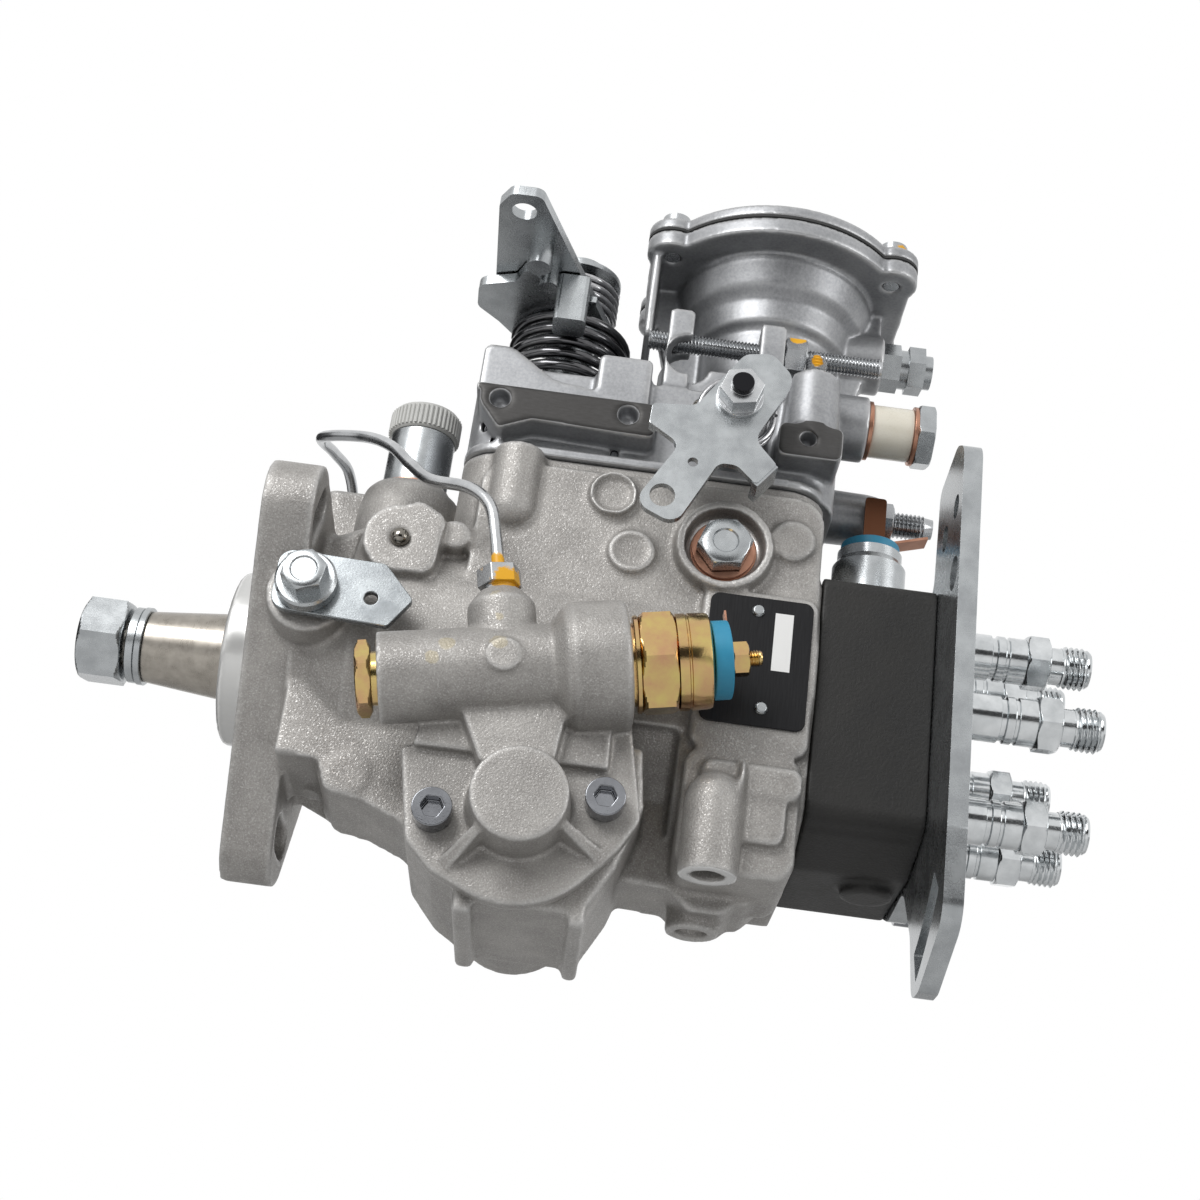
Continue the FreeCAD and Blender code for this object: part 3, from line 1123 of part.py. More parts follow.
def make_distributor_head():
    body = head_outline(HOUSING_END_X, HEAD_X1)
    spigot = ring("X", HOUSING_END_X - 4, HOUSING_END_X, RING_R, BARREL_R)
    lower_boss = cylinder_z(HEAD_LOW_Z - 3, HEAD_LOW_Z + 2, 7.0, 170.0, -14.0)
    cuts = [cylinder_x(HOUSING_END_X - 5, HEAD_X1 + 1, BARREL_R)]
    cuts += [cylinder_x(HEAD_X1 - OUTLET_DEPTH, HEAD_X1 + 1, OUTLET_BODY_R, y, z) for y, z in outlet_places()]
    cuts.append(cylinder_z(12, HEAD_TOP_Z + 1, ARMATURE_R + 3, SHUTOFF_X, SHUTOFF_Y).cut(cylinder_x(140, 200, BARREL_R + 1)))
    cuts += [cylinder_x(HEAD_X1 - 12, HEAD_X1 + 1, SCREW_R, y, z) for y, z in HEAD_SCREW_YZ]
    return body.fuse([spigot, lower_boss]).cut(cuts).removeSplitter()


def make_outlet_holders():
    """Six delivery valve holders, turned alike on the outlet circle."""
    thread_x = OUTLET_END_X - OUTLET_THREAD_L
    neck_x = thread_x - OUTLET_NECK_L
    hex_x = neck_x - OUTLET_HEX_L
    groove_x = hex_x - 6.6
    pieces = []
    for y, z in outlet_places():
        core = lathe_x([(HEAD_X1 - OUTLET_DEPTH, OUTLET_BODY_R), (groove_x - 1, OUTLET_BODY_R),
                        (groove_x - 0.5, OUTLET_BODY_R - 0.5), (groove_x, OUTLET_BODY_R),
                        (neck_x, OUTLET_BODY_R), (neck_x, OUTLET_NECK_R), (thread_x, OUTLET_NECK_R),
                        (thread_x, OUTLET_THREAD_R), (OUTLET_END_X, OUTLET_THREAD_R)], y, z)
        holder = fuse([core, hexagon("X", hex_x, neck_x, OUTLET_HEX_AF, y, z, 15)])
        pieces.append(holder.cut(cylinder_x(OUTLET_END_X - OUTLET_BORE_L, OUTLET_END_X + 1, OUTLET_BORE_R, y, z)))
    return Part.makeCompound(pieces)


def make_head_centre_plug():
    body = fuse([hexagon("X", HEAD_X1 + 8, HEAD_X1 + 16, 22.0, 0, 0, 0, True), cylinder_x(HEAD_X1, HEAD_X1 + 8, 14.0)])
    return body.cut(cylinder_x(HEAD_X1 - 1, BARREL_X1, BARREL_R))


def make_rear_bracket():
    """Flat support bracket behind the head, with a timing slot about the shaft's axis."""
    x0 = BRACKET_X
    x1 = BRACKET_X + BRACKET_T
    near = BRACKET_NEAR_Y
    outline = [(near, 60, 7), (near + 9, 65, 8), (-36, 62, 4), (-33, 33, 4), (38, 30, 4), (38, -34, 10), (10, -48, 8),
               (-12, -50, 8), (-27, -79, 5), (-38, -84, 6), (near, -46, 8)]
    plate = rounded_prism("X", outline, x0, x1)
    cuts = [cylinder_x(x0 - 1, x1 + 1, BRACKET_OPENING_R)]
    band = ring("X", x0 - 1, x1 + 1, BRACKET_SLOT_R + BRACKET_SLOT_W / 2, BRACKET_SLOT_R - BRACKET_SLOT_W / 2)
    first, last = math.radians(228.0), math.radians(242.0)
    reach = 120.0
    wedge = rounded_prism("X", [(0, 0, 0), (reach * math.cos(first), reach * math.sin(first), 0),
                                (reach * math.cos(last), reach * math.sin(last), 0)], x0 - 1, x1 + 1)
    cuts.append(band.common(wedge))
    for angle in (first, last):
        cuts.append(cylinder_x(x0 - 1, x1 + 1, BRACKET_SLOT_W / 2, BRACKET_SLOT_R * math.cos(angle), BRACKET_SLOT_R * math.sin(angle)))
    for y, z, r in ((-59, 45.5, 3.3), (-45.6, 42.7, 3.6), (-59.5, 25.5, 4.6)):
        cuts.append(cylinder_x(x0 - 1, x1 + 1, r, y, z))
    for y, z in HEAD_SCREW_YZ:
        cuts.append(cylinder_x(x0 - 1, x1 + 1, SCREW_R + 0.2, y, z))
    return plate.cut(cuts).removeSplitter()


# Fittings, plugs and small pieces

def make_socket_screws():
    """Cap screws of the governor cover, the timing covers and the head."""
    screw = socket_screw(SCREW_HEAD_R, SCREW_HEAD_H, SCREW_R, 16.0, SCREW_SOCKET_AF)
    pieces = [place(screw, V(0, 0, 1), V(x, y, JOINT_Z + 9)) for x, y in COVER_SCREW_XY]
    for x, z in timing_screws():
        pieces.append(place(screw, V(0, -1, 0), V(x, TIMING_BLOCK_Y - COVER_T, z)))
    for x, z in far_timing_screws():
        pieces.append(place(screw, V(0, 1, 0), V(x, TIMING_FAR_Y + COVER_T, z)))
    for y, z in HEAD_SCREW_YZ:
        pieces.append(place(screw, V(1, 0, 0), V(BRACKET_X + BRACKET_T, y, z)))
    return Part.makeCompound(pieces)


def make_hex_bolts():
    """Pivot bolts of the governor lever on both sides, and the bolt of the lifting bracket."""
    seat = SIDE_Y + 3.5 - 2.0
    near = fuse([hexagon("Y", seat - 5.5, seat, 13.0, LEVER_PIVOT_X, LEVER_PIVOT_Z, 10),
                 cylinder_y(seat, -12.3, LEVER_PIVOT_R, LEVER_PIVOT_X, LEVER_PIVOT_Z)])
    far_seat = FAR_BOLT_Y + 2.0
    far = fuse([hexagon("Y", far_seat, far_seat + 5.5, 13.0, LEVER_PIVOT_X, LEVER_PIVOT_Z, 10),
                cylinder_y(12.3, far_seat, LEVER_PIVOT_R, LEVER_PIVOT_X, LEVER_PIVOT_Z)])
    return Part.makeCompound([near, far, lifting_bolt()])


def make_sealing_washers():
    """Copper washers below the bolts, the overflow valve and the inlet."""
    seat = SIDE_Y + 3.5
    pieces = [ring("Y", seat - 1, seat, 9.0, LEVER_PIVOT_R, LEVER_PIVOT_X, LEVER_PIVOT_Z),
              ring("Y", seat - 2, seat - 1, 8.6, LEVER_PIVOT_R, LEVER_PIVOT_X, LEVER_PIVOT_Z),
              ring("Y", FAR_BOLT_Y, FAR_BOLT_Y + 2, 9.0, LEVER_PIVOT_R, LEVER_PIVOT_X, LEVER_PIVOT_Z)]
    x = OVERFLOW_BOSS_X
    pieces.append(ring("X", x, x + SEAL_T, OVERFLOW_SLEEVE_R + 0.9, 4.0, OVERFLOW_Y, OVERFLOW_Z))
    x += SEAL_T + OVERFLOW_SLEEVE_L
    pieces.append(ring("X", x, x + SEAL_T, OVERFLOW_SLEEVE_R + 0.9, 4.0, OVERFLOW_Y, OVERFLOW_Z))
    pieces.append(ring("Z", INLET_SEAT_Z, INLET_SEAT_Z + SEAL_T, INLET_R + 1.0, 5.0, INLET_X, INLET_Y))
    return Part.makeCompound(pieces)


def make_overflow_sleeve():
    x = OVERFLOW_BOSS_X + SEAL_T
    return ring("X", x, x + OVERFLOW_SLEEVE_L, OVERFLOW_SLEEVE_R, 4.0, OVERFLOW_Y, OVERFLOW_Z)


def make_overflow_bolt():
    seat = OVERFLOW_BOSS_X + 2 * SEAL_T + OVERFLOW_SLEEVE_L
    return fuse([cylinder_x(OVERFLOW_BOSS_X - 16, seat, 4.0, OVERFLOW_Y, OVERFLOW_Z),
                 hexagon("X", seat, seat + 4.8, OVERFLOW_AF, OVERFLOW_Y, OVERFLOW_Z, 20, True)])


def make_inlet_fitting():
    z = INLET_SEAT_Z + SEAL_T
    stem = cylinder_z(INLET_SEAT_Z - 11, z, 5.0, INLET_X, INLET_Y)
    body = cylinder_z(z, z + INLET_L, INLET_R, INLET_X, INLET_Y)
    return fuse([stem, body]).cut(cylinder_z(z - 11, z + INLET_L + 1, 3.0, INLET_X, INLET_Y))


def make_inlet_cap():
    """Knurled dust cap pressed into the inlet."""
    z = INLET_SEAT_Z + SEAL_T + INLET_L
    cap = lathe_z([(z, CAP_R - 1), (z + 1, CAP_R), (z + CAP_T - 1.2, CAP_R), (z + CAP_T, CAP_R - 1.2)], INLET_X, INLET_Y)
    return cap.fuse(cylinder_z(z - 7, z, 3.0, INLET_X, INLET_Y)).removeSplitter()


TUBE_R = 1.9
TUBE_BEND_R = 12.0
TUBE_NUT_AF = 10.0
TUBE_NUT_L = 5.0


def tube_nut_point():
    place_of_valve = valve_placement()
    return place_of_valve.multVec(V(TUBE_BOSS_AT, 0, TUBE_BOSS_L + TUBE_BOSS_CROWN))


def tube_route():
    end = V(*FAR_NUT_XY, FAR_NUT_Z)
    return [tube_nut_point(), V(62.4, -60, 19.0), V(59.4, -58, 28.5), V(53.0, -53.5, 35.0), V(41.6, -44, 41.0),
            V(34.5, -36.5, 49.0), V(27.0, -29, 58.2), V(17.5, -20, 65.0), V(3.6, -6.5, 70.6), V(5.2, 9, 74.6),
            V(8.8, 20, 74.8), end + V(0, 0, 11), end]


def make_fuel_tube():
    return bent_tube(tube_route(), TUBE_BEND_R, TUBE_R)


def make_tube_nuts():
    """Union nuts at both ends of the fuel tube."""
    shape = ring("Z", 0, 1.6, TUBE_R + 2.0, TUBE_R)
    shape = shape.fuse(hexagon("Z", 1.6, 1.6 + TUBE_NUT_L, TUBE_NUT_AF, 0, 0, 10).cut(cylinder_z(0, 20, TUBE_R, 0, 0)))
    route = tube_route()
    near = place(shape, route[1] - route[0], route[0])
    far = place(shape, route[-2] - route[-1], route[-1])
    return Part.makeCompound([near, far])


def make_lifting_bracket():
    """Sheet bracket with a pointed end, a bent lower lip and one hole."""
    y0 = -50.0
    corners = [(7.5, -6, 4), (38.3, -7.3, 1.5), (43.8, 1.0, 1.5), (35.2, 10.3, 2), (7.5, 11, 4)]
    sheet = rounded_prism("Y", corners, y0 - 2.2, y0)
    sheet = sheet.cut(cylinder_y(y0 - 4, y0 + 1, 1.8, 32.9, 0.0))
    return sheet.cut(cylinder_y(y0 - 4, y0 + 1, 4.2, *LIFT_XZ))


def lifting_bolt():
    y0 = -52.2
    return fuse([cylinder_y(-50, -36, 4.1, *LIFT_XZ), cylinder_y(y0, -50, 4.1, *LIFT_XZ),
                 cylinder_y(y0 - 4.0, y0, 8.0, *LIFT_XZ), hexagon("Y", y0 - 9.5, y0 - 4.0, 10.5, *LIFT_XZ, 20)])


def make_nameplate():
    x0, x1, z0, z1 = PLATE_PAD
    plate = rounded_box("Y", x0 + 1.9, x1 - 1.6, z0 + 7, z1 - 1.9, SIDE_Y - 0.8, SIDE_Y, 2.5)
    return plate


def rivet_places():
    return ((133.0, 14.5), (136.0, -13.0))


def make_nameplate_rivets():
    pieces = []
    for x, z in rivet_places():
        pieces.append(Part.makeCone(1.9, 1.3, 0.9, V(x, SIDE_Y - 0.8, z), V(0, -1, 0)))
    return Part.makeCompound(pieces)


def make_ball_plugs():
    """Steel balls pressed into drillings of the two castings."""
    x, z, _ = BALL_BOSS
    balls = [(x, BALL_Y, z), (112.0, COVER_WALL_Y - BALL_R, 78.5)]
    return Part.makeCompound([Part.makeSphere(BALL_R, V(*p)) for p in balls])


def make_adjusting_screws():
    """Long speed screw with its nut, upright idle screw and full-load screw."""
    long_screw = cylinder_x(94.9, 163.5, ROD_R, ROD_Y, ROD_Z)
    nut = hexagon("X", 134.6, 141.2, 10.0, ROD_Y, ROD_Z, 8).cut(cylinder_x(130, 150, ROD_R, ROD_Y, ROD_Z))
    upright = cylinder_z(86, 101, ROD_R, 143.5, -36)
    full = lathe_x([(ROOM_X1 + 1, FULL_LOAD_R), (184, FULL_LOAD_R), (186.5, 3.0)], FULL_LOAD_Y, FULL_LOAD_Z)
    full_nut = hexagon("X", 170, 174.5, 11.0, FULL_LOAD_Y, FULL_LOAD_Z, 12)
    full_nut = full_nut.cut(cylinder_x(160, 180, FULL_LOAD_R, FULL_LOAD_Y, FULL_LOAD_Z))
    return Part.makeCompound([long_screw, nut, upright, full, full_nut])


def make_shutoff_solenoid():
    """Upright shut-off solenoid on the head, with its hexagon."""
    body = lathe_z([(HEAD_TOP_Z, 9.5), (HEAD_TOP_Z + 3, 9.5), (HEAD_TOP_Z + 3, SHUTOFF_R), (SHUTOFF_TOP_Z - 5, SHUTOFF_R),
                    (SHUTOFF_TOP_Z - 3, 9.4), (SHUTOFF_TOP_Z, 9.4)], SHUTOFF_X, SHUTOFF_Y)
    hexa = hexagon("Z", HEAD_TOP_Z + 4, HEAD_TOP_Z + 12, 21.5, SHUTOFF_X, SHUTOFF_Y, 15)
    stud = cylinder_z(SHUTOFF_TOP_Z, SHUTOFF_TOP_Z + 6.5, 2.5, SHUTOFF_X, SHUTOFF_Y)
    stem = ring("Z", HEAD_TOP_Z - 10, HEAD_TOP_Z, ARMATURE_R + 3, ARMATURE_R + RUNNING_GAP, SHUTOFF_X, SHUTOFF_Y)
    hollow = cylinder_z(HEAD_TOP_Z - 1, HEAD_TOP_Z + 16, ARMATURE_R + RUNNING_GAP, SHUTOFF_X, SHUTOFF_Y)
    return fuse([body, hexa, stud, stem]).cut(hollow)


def make_shutoff_armature():
    return lathe_z([(14.5, 2.5), (17, ARMATURE_R), (HEAD_TOP_Z + 12, ARMATURE_R)], SHUTOFF_X, SHUTOFF_Y)


def make_shaft_bush():
    return ring("X", BUSH_START_X, PUMP_BORE_START_X, BUSH_BORE_R, SHAFT_R + RUNNING_GAP)


def make_shaft_seal():
    return ring("X", PILOT_X + 1.5, BUSH_START_X - 0.2, SEAL_BORE_R, SHAFT_R + RUNNING_GAP)


# Throttle lever on its upright shaft

def make_throttle_shaft():
    x, y = THROTTLE_X, THROTTLE_Y
    shaft = cylinder_z(ROOM_TOP_Z - 2, THROTTLE_CAP_Z + 7.5, THROTTLE_SHAFT_R, x, y)
    crank = rounded_box("Z", x - 7, x + 14, y - 5, y + 5, ROOM_TOP_Z - 5, ROOM_TOP_Z - 1, 4.5)
    cap = lathe_z([(THROTTLE_CAP_Z, SMALL_SPRING_R + 1), (THROTTLE_CAP_Z + 1.6, SMALL_SPRING_R + 1),
                   (THROTTLE_CAP_Z + 1.6, 8), (THROTTLE_CAP_Z + 6, 7.5)], x, y)
    seat = lathe_z([(BIG_SPRING_Z - 1, 7.5), (THROTTLE_LEVER_Z, 7.5)], x, y)
    return fuse([shaft, crank, cap, seat])


def make_throttle_lever():
    """Bent plate lever with its cable hole, hooked spring plate and stop tab."""
    x, y, z = THROTTLE_X, THROTTLE_Y, THROTTLE_LEVER_Z
    arm = [(x + 13, y + 2, 8), (x + 2, y + 14, 8), (x - 13, y + 6, 8), (47.5, -20, 4), (48.5, -60, 3), (52, -66, 3), (60.5, -66, 3)]
    plate = rounded_prism("Z", arm, z, z + THROTTLE_LEVER_T)
    hook = [(x + 8, y + 9, 4), (x - 10, y + 11, 6), (49, -7, 3), (42.5, -14, 4), (43, -25, 4), (54, -29, 1.5), (57, -36, 1.5),
            (68, -26, 3)]
    lower = rounded_prism("Z", hook, z - 3.5, z - 0.5)
    stud = cylinder_z(z - 7.5, z + THROTTLE_LEVER_T + 1.5, 3.6, 61.0, -43.0)
    second = cylinder_z(z - 5.0, z + THROTTLE_LEVER_T + 1.0, 3.0, 64.0, -30.0)
    tab = rounded_box("Z", 66.5, 76.0, -32, -23, z - 16, z - 0.5, 1.5)
    link = box(64, 72, -28, -14, z - 3.5, z - 0.5)
    body = fuse([plate, lower, stud, second, tab, link, box(60, 78, -20, 0, z - 1, z + 1)])
    cuts = [cylinder_z(z - 20, z + 9, 7.5, x, y), cylinder_z(z - 1, z + 5, 3.6, 55.6, -58.5)]
    ring_seat = ring("Z", z - 3.5, z + THROTTLE_LEVER_T, 10.5, 7.5, x, y)
    return body.cut(cuts).fuse(ring_seat).removeSplitter()


def make_return_springs():
    """Torsion springs of the throttle and the stop lever."""
    big = coil(BIG_SPRING_R, BIG_SPRING_WIRE_R, BIG_SPRING_PITCH, BIG_SPRING_TURNS, THROTTLE_X, THROTTLE_Y, BIG_SPRING_Z)
    small = coil(SMALL_SPRING_R, SMALL_SPRING_WIRE_R, SMALL_SPRING_PITCH, SMALL_SPRING_TURNS, THROTTLE_X, THROTTLE_Y, SMALL_SPRING_Z)
    stop = coil(10.3, 0.9, 2.3, 2, 0, 0, 0)
    stop = place(stop, V(0, -1, 0), V(STOP_X, -46.8, STOP_Z))
    return Part.makeCompound([big, small, stop])


# Stop lever on its shaft through the cover

def make_stop_shaft():
    x, z = STOP_X, STOP_Z
    y = STOP_LEVER_Y
    shaft = cylinder_y(y, -ROOM_HALF_Y + 3, STOP_SHAFT_R, x, z).fuse(cylinder_y(y - 8.5, y, 3.0, x, z))
    washer = cylinder_y(y - 1.4, y, 6.4, x, z)
    nut = hexagon("Y", y - 6.4, y - 1.4, STOP_NUT_AF, x, z, 12)
    inner = rounded_box("Y", x - 4.5, x + 12, z - 4.5, z + 4.5, -ROOM_HALF_Y + 0.4, -ROOM_HALF_Y + 4, 4)
    sleeve = cylinder_y(y + STOP_LEVER_T, -47.3, 6.5, x, z)
    return fuse([shaft, washer, nut, inner, sleeve])


def make_stop_lever():
    """Cross-shaped plate lever with a long arm, two tabs and a bent lip."""
    y0 = STOP_LEVER_Y
    y1 = y0 + STOP_LEVER_T
    arm = [(126.5, 87, 2), (136.5, 80, 2), (132, 70.5, 1), (124.5, 60, 1), (133, 50, 1), (128.5, 44.5, 2), (118, 54, 2),
           (104.5, 29.5, 4), (96.5, 34.5, 4), (108.5, 57, 2), (97.5, 57.5, 1.5), (100, 65.5, 1), (111.5, 68, 2), (116.5, 73, 2)]
    plate = rounded_prism("Y", arm, y0, y1)
    lip = rounded_prism("Y", [(133, 50, 0), (128.5, 44.5, 0), (127, 45.8, 0), (131.5, 51.3, 0)], y0, y0 + 9)
    holes = [cylinder_y(y0 - 1, y1 + 1, 1.4, 110.8, 49.0), cylinder_y(y0 - 1, y1 + 1, 3.4, 103.8, 38.0),
             cylinder_y(y0 - 1, y1 + 1, STOP_SHAFT_R, STOP_X, STOP_Z)]
    return plate.fuse(lip).cut(holes).removeSplitter()


def export(name, shape):
    shape.exportStep("parts/" + name + ".step")


def main():
    os.makedirs("parts", exist_ok=True)
    pieces = {
        "pump_housing": make_pump_housing, "governor_cover": make_governor_cover, "socket_screws": make_socket_screws,
        "distributor_head": make_distributor_head, "distributor_barrel": make_barrel,
        "delivery_valve_holders": make_outlet_holders, "head_centre_plug": make_head_centre_plug,
        "rear_bracket": make_rear_bracket, "shaft_bush": make_shaft_bush, "shaft_seal": make_shaft_seal,
        "feed_pump_ring": make_feed_pump_ring, "cold_start_cover": make_cold_start_cover,
        "timing_far_cover": make_timing_far_cover, "cold_start_plug": make_cold_start_plug,
        "cold_start_solenoid": make_cold_start_solenoid, "solenoid_insulators": make_solenoid_insulators,
        "terminal_blades": make_terminal_blades, "nameplate": make_nameplate,
        "nameplate_rivets": make_nameplate_rivets, "hex_bolts": make_hex_bolts,
        "sealing_washers": make_sealing_washers, "lifting_bracket": make_lifting_bracket,
        "fuel_tube": make_fuel_tube, "tube_nuts": make_tube_nuts,
        "inlet_fitting": make_inlet_fitting, "inlet_cap": make_inlet_cap, "overflow_bolt": make_overflow_bolt,
        "overflow_sleeve": make_overflow_sleeve, "shutoff_solenoid": make_shutoff_solenoid,
        "aneroid_cover": make_aneroid_cover, "diaphragm": make_diaphragm, "aneroid_screws": make_aneroid_screws,
        "boost_fitting": make_boost_fitting, "ball_plugs": make_ball_plugs,
        "adjusting_screws": make_adjusting_screws, "governor_shaft": make_governor_shaft,
        "inner_springs": make_inner_springs, "return_springs": make_return_springs,
        "drive_shaft": make_drive_shaft, "drive_nut": make_drive_nut, "feed_pump_rotor": make_feed_pump_rotor,
        "drive_gear": make_drive_gear, "cam_plate": make_cam_plate, "plunger": make_plunger,
        "governor_cage": make_governor_cage, "governor_sleeve": make_governor_sleeve,
        "governor_lever": make_governor_lever, "control_spool": make_control_spool,
        "roller_ring": make_roller_ring, "timing_piston": make_timing_piston,
        "throttle_shaft": make_throttle_shaft, "throttle_lever": make_throttle_lever,
        "stop_shaft": make_stop_shaft, "stop_lever": make_stop_lever, "aneroid_pin": make_aneroid_pin,
        "shutoff_armature": make_shutoff_armature,
    }
    for name, make in pieces.items():
        export(name, make())
    for i in range(4):
        export("flyweight_" + str(i + 1), make_flyweight(i))


main()
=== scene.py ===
"""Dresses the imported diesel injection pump: castings, plated steel, threads, springs and a plain studio."""

import json
import logging
import math
from dataclasses import dataclass, field
from enum import Enum
from typing import Dict, List, Optional, Sequence, Tuple, Union

import bmesh
import bpy
from mathutils import Matrix, Vector

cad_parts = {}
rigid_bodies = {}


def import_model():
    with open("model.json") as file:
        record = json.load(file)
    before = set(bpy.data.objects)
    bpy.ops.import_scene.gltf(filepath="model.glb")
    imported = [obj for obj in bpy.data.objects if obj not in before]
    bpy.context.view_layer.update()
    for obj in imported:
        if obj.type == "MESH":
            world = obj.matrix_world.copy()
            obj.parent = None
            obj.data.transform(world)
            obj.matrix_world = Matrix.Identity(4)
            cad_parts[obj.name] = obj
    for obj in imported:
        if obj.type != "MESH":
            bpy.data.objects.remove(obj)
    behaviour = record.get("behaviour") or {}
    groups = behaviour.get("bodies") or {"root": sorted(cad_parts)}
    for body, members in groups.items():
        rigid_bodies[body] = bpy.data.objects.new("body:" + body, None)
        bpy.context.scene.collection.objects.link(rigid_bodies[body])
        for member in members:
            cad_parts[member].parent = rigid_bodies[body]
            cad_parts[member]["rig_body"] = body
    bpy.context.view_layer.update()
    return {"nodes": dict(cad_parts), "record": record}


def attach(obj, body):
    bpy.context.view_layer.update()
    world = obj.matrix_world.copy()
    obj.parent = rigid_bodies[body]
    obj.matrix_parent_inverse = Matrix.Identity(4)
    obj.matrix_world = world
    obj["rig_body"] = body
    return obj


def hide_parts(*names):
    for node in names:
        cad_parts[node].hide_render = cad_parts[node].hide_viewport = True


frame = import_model()

log = logging.getLogger("injection_pump")
MM = 0.001
MERGE = 1e-6                # distance at which two corners are one, in metres
SOFT_MM = 0.1               # width over which a mark on a surface fades out, in millimetres
SHARP_MM = 0.05             # width of a printed field's edge, in millimetres
TURN = 2 * math.pi
SMOOTH_DEG = 33             # edges sharper than this stay sharp on turned pieces
SHEET_DEG = 35              # and on pieces with eased edges
EASED_DEG = 32              # edges sharper than this are eased
FLAT_DEG = 0.6              # CAD triangles that differ by less are one face
ARC_STEPS = 6               # pieces of a rounded corner's arc
TURNED_SIDES = 48           # sides of a turned form that a casting gains or loses

Number = Union[float, "Value"]
Colour = Tuple[float, float, float, float]
Point = Tuple[float, float, float]


class Axis(Enum):
    """An axis of the frame that a mark or a bore points along."""

    X = 0
    Y = 1
    Z = 2


class Value:
    """A node socket that takes part in formulas; each step adds a Math node to its tree."""

    def __init__(self, tree: "Tree", socket: bpy.types.NodeSocket) -> None:
        """Wraps a socket.

        Args:
            tree: the tree that the socket belongs to.
            socket: the output socket.
        """
        self.tree = tree
        self.socket = socket

    def __add__(self, other: Number) -> "Value":
        """Sum."""
        return self.tree.math("ADD", self, other)

    __radd__ = __add__

    def __sub__(self, other: Number) -> "Value":
        """Difference."""
        return self.tree.math("SUBTRACT", self, other)

    def __rsub__(self, other: Number) -> "Value":
        """Difference from a number."""
        return self.tree.math("SUBTRACT", other, self)

    def __mul__(self, other: Number) -> "Value":
        """Product."""
        return self.tree.math("MULTIPLY", self, other)

    __rmul__ = __mul__

    def __pow__(self, other: Number) -> "Value":
        """Power."""
        return self.tree.math("POWER", self, other)

    def rise(self, start: float, end: float) -> "Value":
        """0 below start, 1 above end, and a straight rise between.

        Args:
            start: where the rise starts.
            end: where it ends.

        Returns:
            The value, 0 to 1.
        """
        step = self.tree.node("ShaderNodeMapRange", {"clamp": True},
            {"Value": self, "From Min": start, "From Max": end})
        return self.tree.out(step)

    def band(self, low: float, high: float, soft: float) -> "Value":
        """1 between low and high, falling to 0 within soft outside them."""
        return self.rise(low - soft, low) * (1 - self.rise(high, high + soft))


class Tree:
    """A node tree, shader or geometry, that is built by short calls."""

    def __init__(self, tree: bpy.types.NodeTree) -> None:
        """Wraps a tree.

        Args:
            tree: the node tree to fill.
        """
        self.tree = tree

    def feed(self, socket: bpy.types.NodeSocket, value: object) -> None:
        """Links a socket to a value or sets its number, colour, object or material.

        Args:
            socket: the input socket.
            value: what feeds it.
        """
        if isinstance(value, Value):
            self.tree.links.new(value.socket, socket)
        else:
            socket.default_value = value

    def node(self, kind: str, settings: Optional[dict] = None,
            values: Optional[dict] = None) -> bpy.types.Node:
        """Adds a node.

        Args:
            kind: the node's type.
            settings: its properties.
            values: numbers or links by input name or index.

        Returns:
            The node.
        """
        node = self.tree.nodes.new(kind)
        for key, value in (settings or {}).items():
            setattr(node, key, value)
        for key, value in (values or {}).items():
            self.feed(node.inputs[key], value)
        return node

    def out(self, node: bpy.types.Node, key: Union[int, str] = 0) -> Value:
        """One output of a node."""
        return Value(self, node.outputs[key])

    def make(self, kind: str, settings: Optional[dict] = None, values: Optional[dict] = None,
            output: Union[int, str] = 0) -> Value:
        """Adds a node and gives one of its outputs."""
        return self.out(self.node(kind, settings, values), output)

    def math(self, operation: str, *terms: Number) -> Value:
        """Adds one Math node."""
        return self.make("ShaderNodeMath", {"operation": operation}, dict(enumerate(terms)))


